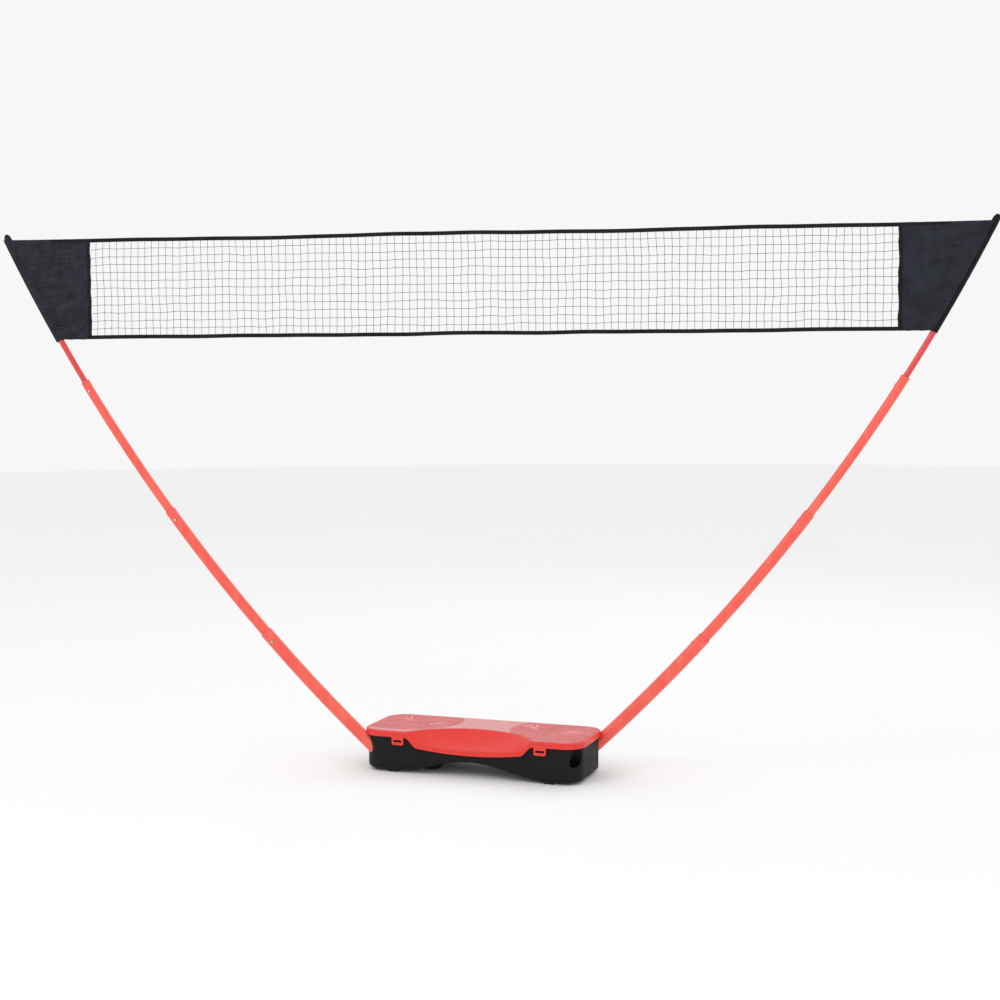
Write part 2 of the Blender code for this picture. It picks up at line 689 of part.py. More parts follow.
def plugs(side):
    corner = POLES[side]
    for number in range(1, 5):
        start = tube_span(number)[0]
        outer = TUBE_RADII[0] if number == 1 else inner_radius(number - 1) * FLATS - SLIDE_CLEARANCE
        spigot = inner_radius(number) * FLATS - GAP
        bore = spigot - 0.002
        profile = [
            (spigot, PLUG_SPIGOT), (spigot, -GAP), (outer, -GAP), (outer, -PLUG_FLANGE - GAP),
            (bore, -PLUG_FLANGE - GAP), (bore, PLUG_SPIGOT), (spigot, PLUG_SPIGOT),
        ]
        name = f"pole_{side}_foot_plug" if number == 1 else f"pole_{side}_guide_plug_{number}"
        plug = turned(name, profile, along_pole(corner, start), TUBE_SIDES)
        finish(plug, BLACK, 0.5)
    inner = TUBE_RADII[3] + SLIDE_CLEARANCE
    outer = inner_radius(3) * FLATS - GAP
    bush = turned(
        f"pole_{side}_mouth_bush", ring_profile(inner, outer, 0, MOUTH_BUSH_LENGTH),
        along_pole(corner, MOUTHS[2] - MOUTH_BUSH_LENGTH), TUBE_SIDES,
    )
    finish(bush, BLACK, 0.5)


def flange_height(number):
    """How far from the tube's centre line the button's flange can stand inside its tube."""
    room = inner_radius(number + 1) * FLATS - 0.0004
    return math.sqrt(room**2 - BUTTON_FLANGE_RADIUS**2)


def buttons(side):
    for number in range(1, 4):
        top = TUBE_RADII[number - 1] + BUTTON_PROUD
        flange = flange_height(number)
        profile = [
            (0, top), (BUTTON_RADIUS * 0.6, top - 0.0003), (BUTTON_RADIUS, top - 0.0015),
            (BUTTON_RADIUS, flange),
            (BUTTON_FLANGE_RADIUS, flange), (BUTTON_FLANGE_RADIUS, flange - BUTTON_FLANGE),
            (0, flange - BUTTON_FLANGE),
        ]
        pin = turned(f"snap_button_{side}_{number}", profile, button_frame(side, number), 16)
        finish(pin, STEEL, 0.25, 1.0)


def springs(side):
    """Each button's leaf spring: a strip under the flange, down the tube, round and back by the far wall."""
    for number in range(1, 4):
        high = flange_height(number) - BUTTON_FLANGE - GAP - SPRING_THICKNESS / 2
        room = inner_radius(number + 1) * FLATS
        low = -math.sqrt(room**2 - (SPRING_WIDTH / 2) ** 2) + 0.0006 + SPRING_THICKNESS / 2
        bend = (high - low) / 2
        round_end = [
            (SPRING_LENGTH - bend + bend * math.sin(a), low + bend + bend * math.cos(a))
            for a in [math.pi * i / 6 for i in range(7)]
        ]
        line = [(-BUTTON_RADIUS, high), *round_end, (BUTTON_RADIUS, low)]
        half = SPRING_WIDTH / 2
        corners = [(x, y, z) for x, z in line for y in (-half, half)]
        faces = [(2 * i, 2 * i + 1, 2 * i + 3, 2 * i + 2) for i in range(len(line) - 1)]
        mesh = bpy.data.meshes.new(f"button_spring_{side}_{number}")
        mesh.from_pydata(corners, [], faces)
        strip = add(mesh.name, mesh, button_frame(side, number))
        shell = strip.modifiers.new("Thickness", "SOLIDIFY")
        shell.thickness = SPRING_THICKNESS
        shell.offset = 0
        finish(strip, STEEL, 0.3, 1.0)


# ---- net ----

NET_FRAME = Matrix.Rotation(NET_YAW, 4, "Z")
POCKET_RADIUS = TUBE_RADII[3] + POCKET_CLEARANCE + POCKET_WALL


def net_box(name, x0, x1, z0, z1, thickness, colour=NYLON, roughness=0.5):
    half = thickness / 2
    made = block(name, (x0, -half, z0), (x1, half, z1), NET_FRAME.copy())
    return finish(made, colour, roughness)


def height_along(height):
    """The distance along a pole at which its centre line reaches a height."""
    centre_z = pole_frame(POLES["right"]).to_translation().z
    return (math.acos((centre_z - height) / BEND_RADIUS) - SEAT_ANGLE) * BEND_RADIUS


def tapes():
    half = MESH_HALF_WIDTH
    net_box("top_tape", -half, half, NET_TOP - TAPE_HEIGHT, NET_TOP, TAPE_THICKNESS)
    net_box("bottom_tape", -half, half, NET_BOTTOM, NET_BOTTOM + TAPE_HEIGHT, TAPE_THICKNESS)
    low = NET_BOTTOM + TAPE_HEIGHT + GAP
    high = NET_TOP - TAPE_HEIGHT - GAP
    net_box("side_tape_left", -half, -half + TAPE_HEIGHT, low, high, TAPE_THICKNESS)
    net_box("side_tape_right", half - TAPE_HEIGHT, half, low, high, TAPE_THICKNESS)
    inner = half - TAPE_HEIGHT - GAP
    net_box("net_mesh", -inner, inner, low, high, MESH_THICKNESS)


def wings():
    """Each wing runs from the mesh's side tape out to its pole pocket, whose line its outer edge follows."""
    edge = MESH_HALF_WIDTH + GAP
    place_up = NET_FRAME @ FACING_FRONT
    for side, corner in POLES.items():
        sign = corner[0]
        outer = []
        for i in range(9):
            z = NET_BOTTOM + (NET_TOP - NET_BOTTOM) * i / 8
            along = height_along(z)
            lean = slope(along)
            point = NET_FRAME.inverted() @ pole_point(corner, along)
            outer.append((point.x - sign * (POCKET_RADIUS + WING_FROM_POCKET) / math.sin(lean), z))
        points = [(sign * edge, NET_BOTTOM), *outer, (sign * edge, NET_TOP)]
        wing = outline_plate("wing_" + side, points, WING_THICKNESS, place_up)
        finish(wing, NYLON, 0.35)
        start = height_along(NET_BOTTOM) - POCKET_BELOW_WING
        pocket = arc_tube(
            "pole_pocket_" + side, corner, start, ROD_TOP, POCKET_RADIUS, POCKET_WALL
        )
        finish(pocket, NYLON, 0.5)
        width = TUBE_RADII[3] + TIP_CAP_PROUD
        cap = [
            (0, TIP_CAP_LENGTH), (width * 0.5, TIP_CAP_LENGTH * 0.9), (width * 0.85, TIP_CAP_LENGTH * 0.55),
            (width, GAP), (0, GAP),
        ]
        finish(turned("tip_cap_" + side, cap, along_pole(corner, ROD_TOP), TUBE_SIDES), BLACK, 0.4)


case_base()
feet()
sockets()
hinge_pins()
lid_shell()
lid_panel()
latches()
for pole_side in POLES:
    tubes(pole_side)
    plugs(pole_side)
    buttons(pole_side)
    springs(pole_side)
tapes()
wings()
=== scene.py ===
"""The portable badminton net's finished look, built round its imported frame.

Metres, +Z up. The case stands on the ground round the origin with its handle towards -Y. Each pole is a
circular arc in an upright plane, and the net hangs in an upright plane of its own between the two rods.
"""

import json
import math

import bmesh
import bpy
import numpy as np
from mathutils import Matrix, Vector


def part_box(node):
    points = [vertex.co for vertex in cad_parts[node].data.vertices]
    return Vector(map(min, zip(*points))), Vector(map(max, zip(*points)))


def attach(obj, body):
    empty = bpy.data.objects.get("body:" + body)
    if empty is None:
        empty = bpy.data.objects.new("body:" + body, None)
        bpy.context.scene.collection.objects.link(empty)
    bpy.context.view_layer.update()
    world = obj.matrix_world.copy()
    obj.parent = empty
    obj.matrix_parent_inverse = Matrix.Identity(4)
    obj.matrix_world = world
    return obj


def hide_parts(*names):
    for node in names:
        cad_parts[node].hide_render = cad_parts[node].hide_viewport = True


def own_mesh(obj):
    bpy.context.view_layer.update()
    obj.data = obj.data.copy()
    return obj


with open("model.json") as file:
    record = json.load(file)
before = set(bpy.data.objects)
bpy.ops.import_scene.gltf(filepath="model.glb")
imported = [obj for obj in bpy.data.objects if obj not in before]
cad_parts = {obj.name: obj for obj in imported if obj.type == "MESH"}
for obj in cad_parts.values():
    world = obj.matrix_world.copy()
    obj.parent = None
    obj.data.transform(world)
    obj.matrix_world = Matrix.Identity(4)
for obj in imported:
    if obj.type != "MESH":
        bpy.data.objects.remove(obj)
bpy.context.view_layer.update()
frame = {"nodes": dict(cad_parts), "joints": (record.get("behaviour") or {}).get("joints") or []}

# ---- the view ----
EYE = (1.786, -4.693, 1.197)
HEADING = math.radians(20.18)
TILT = math.radians(-4.20)
ROLL = math.radians(-0.375)
LENS_MM = 59.8

# ---- case ----
CASE_HEIGHT = 0.128
RIM_HEIGHT = 0.018
RIM_BOTTOM = CASE_HEIGHT - RIM_HEIGHT
LID_HALF = (0.353, 0.131)
LID_CORNER = 0.062
BODY_HALF = (0.346, 0.124)
BODY_CORNER = 0.055
BODY_BOTTOM = 0.007
BOTTOM_ROUND = 0.012
CASE_WALL = 0.0025
SEAM = 0.0003
ARCH_HALF_SPAN = 0.250
ARCH_RISE = 0.039
WELL_CENTRE = (-0.148, -0.052, 0.0330)
WELL_RADII = (0.044, 0.036, 0.030)
LIP_HALF_WIDTH = 0.205
LIP_SHOULDER = 0.165
LIP_SHOULDER_DROP = 0.030
LIP_DROP = 0.041
LIP_THICKNESS = 0.0085
SCOOP_DEPTH = 0.109
TROUGH_HEIGHT = 0.0805
BOSS_PLACE = (0.045, -0.085)
DECK_WALL = 0.003
PANEL_INSET = 0.0078
PANEL_PROUD = 0.0007
SCOOP_BORDER = 0.0045
LATCH_X = 0.228
LATCH_SIZE = (0.038, 0.0265)
LATCH_WINDOW = (0.027, 0.0062)
LATCH_WINDOW_DOWN = 0.0150
LATCH_AXIS = (-0.1278, 0.1138)
LATCH_THICKNESS = 0.003
LATCH_OVERHANG = 0.0006
LIP_HALF = 0.0175
CATCH_HALF = (0.011, 0.0016)
HINGE_X = 0.200
HINGE_AXIS = (0.1345, 0.1055)
KNUCKLE_LENGTH = 0.014
KNUCKLE_RADIUS = 0.0042

# ---- poles ----
BEND_RADIUS = 5.445
TUBE_WALLS = (0.0016, 0.0015, 0.0015, 0.0014)
MOUTH_ROUND = 0.0008
MOUTH_SWELL = 0.0004
BUTTON_FROM_MOUTH = 0.036
BUTTON_RADIUS = 0.0040
BUTTON_PROUD = 0.0025
BUTTON_DOME = 0.0016
CAP_LENGTH = 0.0142
HOLE_CLEARANCE = 0.0006

# ---- net ----
NET_YAW = math.radians(11.3)
CORDS_ACROSS = 11
CORDS_UP = 108
TWINE_RADIUS = 0.00070
KNOT_RADIUS = 0.0016
CORD_WANDER = 0.0042
INTO_TAPE = 0.004
WING_EXCESS = 0.022
CLOTH_STEPS = 22
SLEEVE_FRONT = 0.0105

SIDES = {"left": -1, "right": 1}


# ---- camera, floor and lights ----

def set_camera():
    """A camera at EYE, turned by HEADING about Z, tipped by TILT and rolled about its line of sight."""
    camera = bpy.data.objects.new("camera", bpy.data.cameras.new("camera"))
    bpy.context.scene.collection.objects.link(camera)
    turn = Matrix.Rotation(HEADING, 4, "Z") @ Matrix.Rotation(math.pi / 2 + TILT, 4, "X")
    camera.matrix_world = Matrix.Translation(EYE) @ turn @ Matrix.Rotation(ROLL, 4, "Z")
    camera.data.lens = LENS_MM
    camera.data.clip_end = 100
    bpy.context.scene.camera = camera


def soft_light(name, place, target, size, power):
    """A square area light at place, facing target."""
    light = bpy.data.lights.new(name, "AREA")
    light.size = size
    light.energy = power
    obj = bpy.data.objects.new(name, light)
    bpy.context.scene.collection.objects.link(obj)
    away = np.subtract(place, target)
    back = away / np.linalg.norm(away)
    right = np.cross((0, 0, 1), back)
    right /= np.linalg.norm(right)
    axes = np.column_stack([right, np.cross(back, right), back])
    obj.matrix_world = Matrix.Translation(place) @ Matrix(axes.tolist()).to_4x4()


def set_studio():
    """A pale floor disc, an even pale surround and three large lamps, with plain unshifted colours."""
    bpy.context.scene.view_settings.view_transform = "Standard"
    world = bpy.data.worlds.new("pale surround")
    world.use_nodes = True
    world.node_tree.nodes["Background"].inputs["Color"].default_value = (1, 1, 1, 1)
    world.node_tree.nodes["Background"].inputs["Strength"].default_value = 0.93
    bpy.context.scene.world = world
    soft_light("key lamp", (-2.6, -4.2, 4.2), (0, 0, 0.7), 2.6, 45)
    soft_light("fill lamp", (3.8, -3.0, 2.6), (0, 0, 0.8), 2.4, 18)
    soft_light("rear lamp", (0.5, 3.6, 3.6), (0, 0, 1.0), 2.6, 15)
    angle = np.linspace(0, 2 * math.pi, 97)
    reach = np.array([0.0, 1.5, 4.0, 9.0, 18.0])
    spread = reach[:, None, None] * np.stack([np.cos(angle), np.sin(angle), 0 * angle], -1)[None]
    floor = mesh_object("floor", [spread])
    floor.data.materials.append(floor_finish())


# ---- surfaces ----

def mesh_object(name, grids, sharp=35):
    """One object of the given grids of points, each (rows, columns, 3), with coinciding points made one.

    A grid that closes on itself repeats its first row or column at the end.
    """
    points = np.concatenate([grid.reshape(-1, 3) for grid in grids])
    faces = []
    start = 0
    for grid in grids:
        rows, columns = grid.shape[:2]
        index = start + np.arange(rows * columns).reshape(rows, columns)
        corners = index[:-1, :-1], index[1:, :-1], index[1:, 1:], index[:-1, 1:]
        faces.append(np.stack(corners, -1).reshape(-1, 4))
        start += rows * columns
    mesh = bpy.data.meshes.new(name)
    mesh.from_pydata(points, [], np.concatenate(faces).tolist())
    model = bmesh.new()
    model.from_mesh(mesh)
    bmesh.ops.remove_doubles(model, verts=model.verts, dist=4e-6)
    bmesh.ops.dissolve_degenerate(model, edges=model.edges, dist=1e-7)
    bmesh.ops.recalc_face_normals(model, faces=model.faces)
    model.to_mesh(mesh)
    model.free()
    mesh.shade_smooth()
    mesh.set_sharp_from_angle(angle=math.radians(sharp))
    obj = bpy.data.objects.new(name, mesh)
    bpy.context.scene.collection.objects.link(obj)
    return obj


def placed(obj, body, finish, slot, *nodes):
    """Gives a piece its material and its body, and hides the nodes that it stands for; the slot argument is
    not used.
    """
    obj.data.materials.clear()
    obj.data.materials.append(finish)
    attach(obj, body)
    if nodes:
        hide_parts(*nodes)


def squared(wave, power):
    """A sine or cosine flattened at its ends, sign(wave) |wave|^power, which squares a circle's corners."""
    return np.sign(wave) * np.abs(wave) ** power


def unit_ball(columns, rows):
    """A ball of radius one on a longitude and latitude grid."""
    lon = np.linspace(0, 2 * math.pi, columns)[None]
    lat = np.linspace(-math.pi / 2, math.pi / 2, rows)[:, None]
    return np.stack([np.cos(lat) * np.cos(lon), np.cos(lat) * np.sin(lon), np.sin(lat) + 0 * lon], -1)


def end_closed(rings):
    """A tube's rings with a ring shrunk to its middle added at each end, which closes it."""
    ends = [np.repeat(rings[i].mean(0)[None, None], rings.shape[1], 1) for i in (0, -1)]
    return np.concatenate([ends[0], rings, ends[1]])


def resharpen(obj, angle):
    """Smooth shading with an edge kept sharp where its faces meet at more than this many degrees."""
    obj.data.shade_smooth()
    obj.data.set_sharp_from_angle(angle=math.radians(angle))


def with_modifier(obj, kind, **settings):
    """Adds a modifier with these settings and applies it."""
    modifier = obj.modifiers.new(kind, kind)
    for key, value in settings.items():
        setattr(modifier, key, value)
    graph = bpy.context.evaluated_depsgraph_get()
    made = bpy.data.meshes.new_from_object(obj.evaluated_get(graph))
    obj.modifiers.clear()
    obj.data = made


def tube(line, radius, across, sides):
    """Circles of a radius, or of one radius a point, round a line. Each starts in the direction across."""
    line = np.asarray(line, float)
    along = np.gradient(line, axis=0)
    along /= np.linalg.norm(along, axis=1)[:, None]
    first = np.broadcast_to(across, line.shape)
    first = first - (first * along).sum(1)[:, None] * along
    first = first / np.linalg.norm(first, axis=1)[:, None]
    second = np.cross(along, first)
    angle = np.linspace(0, 2 * math.pi, sides + 1)
    width = np.broadcast_to(radius, len(line))[:, None, None]
    ring = np.cos(angle)[None, :, None] * first[:, None]
    ring = ring + np.sin(angle)[None, :, None] * second[:, None]
    return line[:, None] + width * ring


def turned(profile, start, axis, sides=32):
    """A profile of (distance from the axis, height along it) turned round an axis from start."""
    axis = np.asarray(axis, float) / np.linalg.norm(axis)
    helper = (0, 0, 1) if abs(axis[2]) < 0.9 else (1, 0, 0)
    first = np.cross(axis, helper)
    first /= np.linalg.norm(first)
    second = np.cross(axis, first)
    angle = np.linspace(0, 2 * math.pi, sides + 1)
    round_it = np.cos(angle)[:, None] * first + np.sin(angle)[:, None] * second
    profile = np.asarray(profile, float)
    rise = np.asarray(start, float) + profile[:, 1:] * axis
    return rise[:, None] + profile[:, :1, None] * round_it[None]


def soft_block(low, high, edge=0.0006):
    """A block with rounded edges: |x|^n + |y|^n + |z|^n = 1 on a longitude and latitude grid.

    The power n follows from how small the edge is against the block.
    """
    low, high = np.asarray(low, float), np.asarray(high, float)
    half = (high - low) / 2
    power = 2 / max(4.0, 2.2 * half.min() / edge)
    lon = np.linspace(-math.pi, math.pi, 49)[None]
    lat = np.linspace(-math.pi / 2, math.pi / 2, 25)[:, None]
    x = squared(np.cos(lat), power) * squared(np.cos(lon), power)
    y = squared(np.cos(lat), power) * squared(np.sin(lon), power)
    z = squared(np.sin(lat), power) * np.ones_like(lon)
    return np.stack([x, y, z], -1) * half + (low + high) / 2


def smooth_noise(rows, columns, seed, passes):
    """Seeded noise on a grid, blurred by averaging neighbours, scaled to about -1 to 1."""
    field = np.random.default_rng(seed).normal(size=(rows, columns))
    for _ in range(passes):
        wide = np.pad(field, 1, mode="edge")
        field = (wide[:-2, 1:-1] + wide[2:, 1:-1] + wide[1:-1, :-2] + wide[1:-1, 2:] + 2 * field) / 6
    return field / np.abs(field).max()


# ---- finishes ----

class Finish:
    """A Principled material with helpers for its pattern nodes, all on Object coordinates."""

    def __init__(self, name, colour, roughness, metallic=0.0, **sockets):
        self.material = bpy.data.materials.new(name)
        self.material.use_nodes = True
        self.tree = self.material.node_tree
        self.shader = self.tree.nodes["Principled BSDF"]
        self.shader.inputs["Base Color"].default_value = (*colour, 1)
        self.shader.inputs["Roughness"].default_value = roughness
        self.shader.inputs["Metallic"].default_value = metallic
        for key, value in sockets.items():
            self.shader.inputs[key.replace("_", " ")].default_value = value
        self.place = self.tree.nodes.new("ShaderNodeTexCoord").outputs["Object"]
        self.last_bump = None

    def join(self, value, socket):
        """Links a pattern to a socket, or sets the socket's own value."""
        if isinstance(value, bpy.types.NodeSocket):
            self.tree.links.new(value, socket)
        else:
            socket.default_value = value

    def node(self, kind, output=0, **inputs):
        """A pattern node: i0 and i1 are its first two inputs, and a name is a setting or an input."""
        made = self.tree.nodes.new("ShaderNode" + kind)
        for key, value in inputs.items():
            if key in made.bl_rna.properties:
                setattr(made, key, value)
            else:
                self.join(value, made.inputs[{"i0": 0, "i1": 1}.get(key, key)])
        return made.outputs[output]

    def mapped(self, scale=(1, 1, 1), turn=(0, 0, 0), move=(0, 0, 0)):
        return self.node("Mapping", Vector=self.place, Scale=scale, Rotation=turn, Location=move)

    def noise(self, scale, detail=4.0, vector=None):
        return self.node("TexNoise", Vector=vector or self.place, Scale=scale, Detail=detail)

    def math(self, operation, a, b=0.0):
        return self.node("Math", operation=operation, i0=a, i1=b)

    def fit(self, value, low, high, to_low, to_high):
        ends = {"From Min": low, "From Max": high, "To Min": to_low, "To Max": to_high}
        return self.node("MapRange", Value=value, **ends)

    def blend(self, factor, first, second):
        made = self.tree.nodes.new("ShaderNodeMix")
        made.data_type = "RGBA"
        for number, value in ((0, factor), (6, first), (7, second)):
            self.join((*value, 1) if isinstance(value, tuple) else value, made.inputs[number])
        return made.outputs[2]

    def colour(self, socket):
        self.tree.links.new(socket, self.shader.inputs["Base Color"])

    def rough(self, socket):
        self.tree.links.new(socket, self.shader.inputs["Roughness"])

    def bump(self, height, distance, strength=1.0):
        made = self.tree.nodes.new("ShaderNodeBump")
        made.inputs["Distance"].default_value = distance
        made.inputs["Strength"].default_value = strength
        self.tree.links.new(height, made.inputs["Height"])
        if self.last_bump is not None:
            self.tree.links.new(self.last_bump, made.inputs["Normal"])
        self.last_bump = made.outputs["Normal"]
        self.tree.links.new(self.last_bump, self.shader.inputs["Normal"])


def floor_finish():
    finish = Finish("pale floor", (0.94, 0.94, 0.94), 0.9, Specular_IOR_Level=0.0)
    finish.colour(finish.blend(finish.noise(1.2), (0.93, 0.93, 0.93), (0.95, 0.95, 0.95)))
    return finish.material


def moulded(name, base, worn, roughness, grain=2600.0, depth=0.00008, coat=0.0, gloss=0.12):
    """Moulded plastic: a fine spark-eroded grain, a slow drift in roughness and faint scuffs."""
    finish = Finish(
        name, base, roughness, Coat_Weight=coat, Coat_Roughness=0.25, Specular_IOR_Level=gloss
    )
    drift = finish.noise(9.0)
    scuff = finish.noise(60.0, 8.0, finish.mapped((1, 1, 5)))
    finish.colour(finish.blend(finish.fit(scuff, 0.45, 0.75, 0.0, 0.55), base, worn))
    finish.rough(finish.fit(drift, 0.3, 0.7, roughness - 0.05, roughness + 0.08))
    finish.bump(finish.noise(grain, 2.0), depth)
    finish.bump(finish.noise(14.0, 2.0), 0.0012, 0.25)
    return finish.material


def painted_tube():
    """Satin red paint: soft orange peel, light rub marks along the tube and a slightly worn tone."""
    base, rubbed = (0.86, 0.085, 0.055), (0.93, 0.16, 0.11)
    finish = Finish("satin red tube", base, 0.36, Coat_Weight=0.25, Coat_Roughness=0.3)
    marks = finish.noise(34.0, 9.0, finish.mapped((1, 1, 0.35)))
    finish.colour(finish.blend(finish.fit(marks, 0.4, 0.75, 0.0, 0.7), base, rubbed))
    finish.rough(finish.fit(finish.noise(70.0, 6.0), 0.3, 0.7, 0.31, 0.45))
    finish.bump(finish.noise(900.0, 2.0), 0.00012, 0.5)
    return finish.material


def glossy_rod():
    """Lacquered glass fibre: deep red with fine lengthwise strands under a clear coat."""
    base, strand = (0.66, 0.016, 0.020), (0.80, 0.05, 0.045)
    finish = Finish("glossy red rod", base, 0.22, Coat_Weight=0.8, Coat_Roughness=0.06)
    strands = finish.noise(420.0, 3.0, finish.mapped((1, 1, 0.06), (0, math.radians(28), 0)))
    finish.colour(finish.blend(finish.fit(strands, 0.4, 0.7, 0.0, 0.8), base, strand))
    finish.rough(finish.fit(finish.noise(60.0, 4.0), 0.3, 0.7, 0.18, 0.28))
    finish.bump(strands, 0.00006, 0.4)
    return finish.material


def bright_steel():
    finish = Finish("bright steel", (0.62, 0.62, 0.60), 0.28, 1.0)
    finish.colour(finish.blend(finish.noise(300.0), (0.55, 0.55, 0.54), (0.72, 0.72, 0.70)))
    finish.rough(finish.fit(finish.noise(500.0, 3.0), 0.3, 0.7, 0.2, 0.38))
    finish.bump(finish.noise(1500.0, 2.0), 0.00003)
    return finish.material


def rubber():
    finish = Finish("foot rubber", (0.018, 0.018, 0.018), 0.85, Specular_IOR_Level=0.1)
    finish.colour(finish.blend(finish.noise(80.0), (0.014, 0.014, 0.014), (0.045, 0.044, 0.043)))
    finish.rough(finish.fit(finish.noise(200.0), 0.3, 0.7, 0.75, 0.95))
    finish.bump(finish.noise(1800.0, 3.0), 0.0001)
    return finish.material


def woven(name, dark, light, roughness, pitch, depth, sheen):
    """Plain-woven cloth: warp and weft waves in the net's plane, with a loose blotchy fade."""
    finish = Finish(
        name, dark, roughness, Sheen_Weight=sheen, Sheen_Roughness=0.35, Specular_IOR_Level=0.15
    )
    plane = finish.mapped(turn=(0, 0, -NET_YAW))
    waves = {"Vector": plane, "Scale": 1 / pitch / 6.3, "wave_type": "BANDS"}
    warp = finish.node("TexWave", **waves, bands_direction="X")
    weft = finish.node("TexWave", **waves, bands_direction="Z")
    weave = finish.math("MULTIPLY", warp, weft)
    fade = finish.fit(finish.noise(26.0, 5.0), 0.3, 0.7, 0.0, 0.8)
    finish.colour(finish.blend(fade, dark, light))
    finish.rough(finish.fit(weave, 0.0, 1.0, roughness - 0.05, roughness + 0.1))
    finish.bump(weave, depth, 0.6)
    return finish


def wing_cloth():
    """Coated nylon: a dark slate weave with long soft folds and finer creases pressed in by packing."""
    dark, light = (0.012, 0.013, 0.020), (0.024, 0.026, 0.037)
    finish = woven("slate nylon", dark, light, 0.40, 0.0012, 0.0001, 0.05)
    for lean, scale, depth in ((0.30, 15.0, 0.012), (-0.45, 22.0, 0.007), (0.10, 48.0, 0.0025)):
        fold = finish.noise(scale, 2.0, finish.mapped((0.45, 1, 1.7), (0, lean, 0)))
        finish.bump(finish.fit(fold, 0.35, 0.68, 0.0, 1.0), depth, 0.5)
    return finish.material


def twine():
    """Dark knotted twine with a twisted lay."""
    finish = Finish("net twine", (0.045, 0.046, 0.050), 0.8)
    finish.colour(finish.blend(finish.noise(240.0), (0.03, 0.03, 0.034), (0.085, 0.087, 0.092)))
    finish.rough(finish.fit(finish.noise(400.0), 0.3, 0.7, 0.7, 0.9))
    finish.bump(finish.node("TexWave", Vector=finish.mapped(turn=(0.6, 0.6, 0)), Scale=260.0), 0.0001)
    return finish.material


def racket_print():
    """The lid panel's print: two darker ovals like racket heads and a paler band between them.

    An oval is where ((x - cx) / a)^2 + ((y - cy) / b)^2 is under one.
    """
    band, oval, line = (0.68, 0.27, 0.265), (0.60, 0.055, 0.055), (0.74, 0.33, 0.32)
    finish = Finish("panel print", oval, 0.4, Coat_Weight=0.1, Coat_Roughness=0.25, Specular_IOR_Level=0.3)
    colour = band
    for centre, half in (((-0.265, 0.050), (0.178, 0.150)), ((0.262, 0.038), (0.180, 0.160))):
        place = {"Location": (*centre, 0), "Scale": (*half, 1000)}
        local = finish.node("Mapping", Vector=finish.place, vector_type="TEXTURE", **place)
        away = finish.node("VectorMath", 1, operation="LENGTH", i0=local)
        inside = finish.fit(away, 0.992, 1.004, 1.0, 0.0)
        edge = finish.math("MULTIPLY", finish.fit(away, 0.975, 0.985, 0.0, 1.0), inside)
        colour = finish.blend(inside, colour, oval)
        colour = finish.blend(finish.math("MULTIPLY", edge, 0.25), colour, line)
    faint = finish.fit(finish.noise(7.0, 5.0, finish.mapped((1, 2.5, 1))), 0.35, 0.75, 0.0, 0.35)
    finish.colour(finish.blend(faint, colour, (0.72, 0.27, 0.26)))
    finish.rough(finish.fit(finish.noise(40.0, 6.0), 0.3, 0.7, 0.34, 0.48))
    finish.bump(finish.noise(1800.0, 2.0), 0.00006)
    return finish.material


FINISHES = {
    "case": moulded("black case plastic", (0.009, 0.009, 0.010), (0.020, 0.020, 0.022), 0.5),
    "lid": moulded(
        "red lid plastic", (0.76, 0.036, 0.028), (0.82, 0.07, 0.055), 0.36, 2200.0, 0.00005, 0.1, 0.3
    ),
    "inner": moulded("black inner plastic", (0.007, 0.007, 0.008), (0.016, 0.016, 0.017), 0.45),
    "motif": moulded("pale printed strokes", (0.80, 0.36, 0.35), (0.84, 0.43, 0.41), 0.42),
    "tube": painted_tube(),
    "rod": glossy_rod(),
    "steel": bright_steel(),
    "rubber": rubber(),
    "tape": woven(
        "black tape", (0.005, 0.006, 0.007), (0.015, 0.016, 0.019), 0.75, 0.0011, 0.0002, 0.05
    ).material,
    "sleeve": woven(
        "black sleeve cloth", (0.004, 0.004, 0.005), (0.012, 0.012, 0.015), 0.6, 0.0012, 0.0002, 0.05
    ).material,
    "wing": wing_cloth(),
    "twine": twine(),
    "print": racket_print(),
}


# ---- poles ----

def pole_axes(side):
    """(arc centre, unit axis, outward direction) of a pole, from its pull-out joint."""
    joint = next(j for j in frame["joints"] if j["name"] == f"pole_{side}_pull_out")
    axis = np.array(joint["axis"]) / np.linalg.norm(joint["axis"])
    return np.array(joint["pos_m"]), axis, np.cross(axis, (0, 0, -1))


def node_points(name):
    mesh = frame["nodes"][name].data
    points = np.empty(len(mesh.vertices) * 3, np.float32)
    mesh.vertices.foreach_get("co", points)
    return points.reshape(-1, 3).astype(float)


def node_run(side, name):
    """(start slope, end slope, outer radius) of a bowed CAD node, in its pole's polar frame."""
    centre, axis, outward = pole_axes(side)
    away = node_points(name) - centre
    slope = np.arctan2(away @ outward, -away[:, 2])
    reach = np.hypot(away @ outward, away[:, 2]) - BEND_RADIUS
    return slope.min(), slope.max(), np.hypot(reach, away @ axis).max()


def pole_point(side, slope, lift=0.0):
    """Points at slopes along a pole: centre + (R + lift) (down cos(slope) + outward sin(slope))."""
    centre, _, outward = pole_axes(side)
    slope = np.asarray(slope, float)[..., None]
    ray = np.cos(slope) * np.array((0, 0, -1)) + np.sin(slope) * outward
    return centre + (BEND_RADIUS + lift) * ray


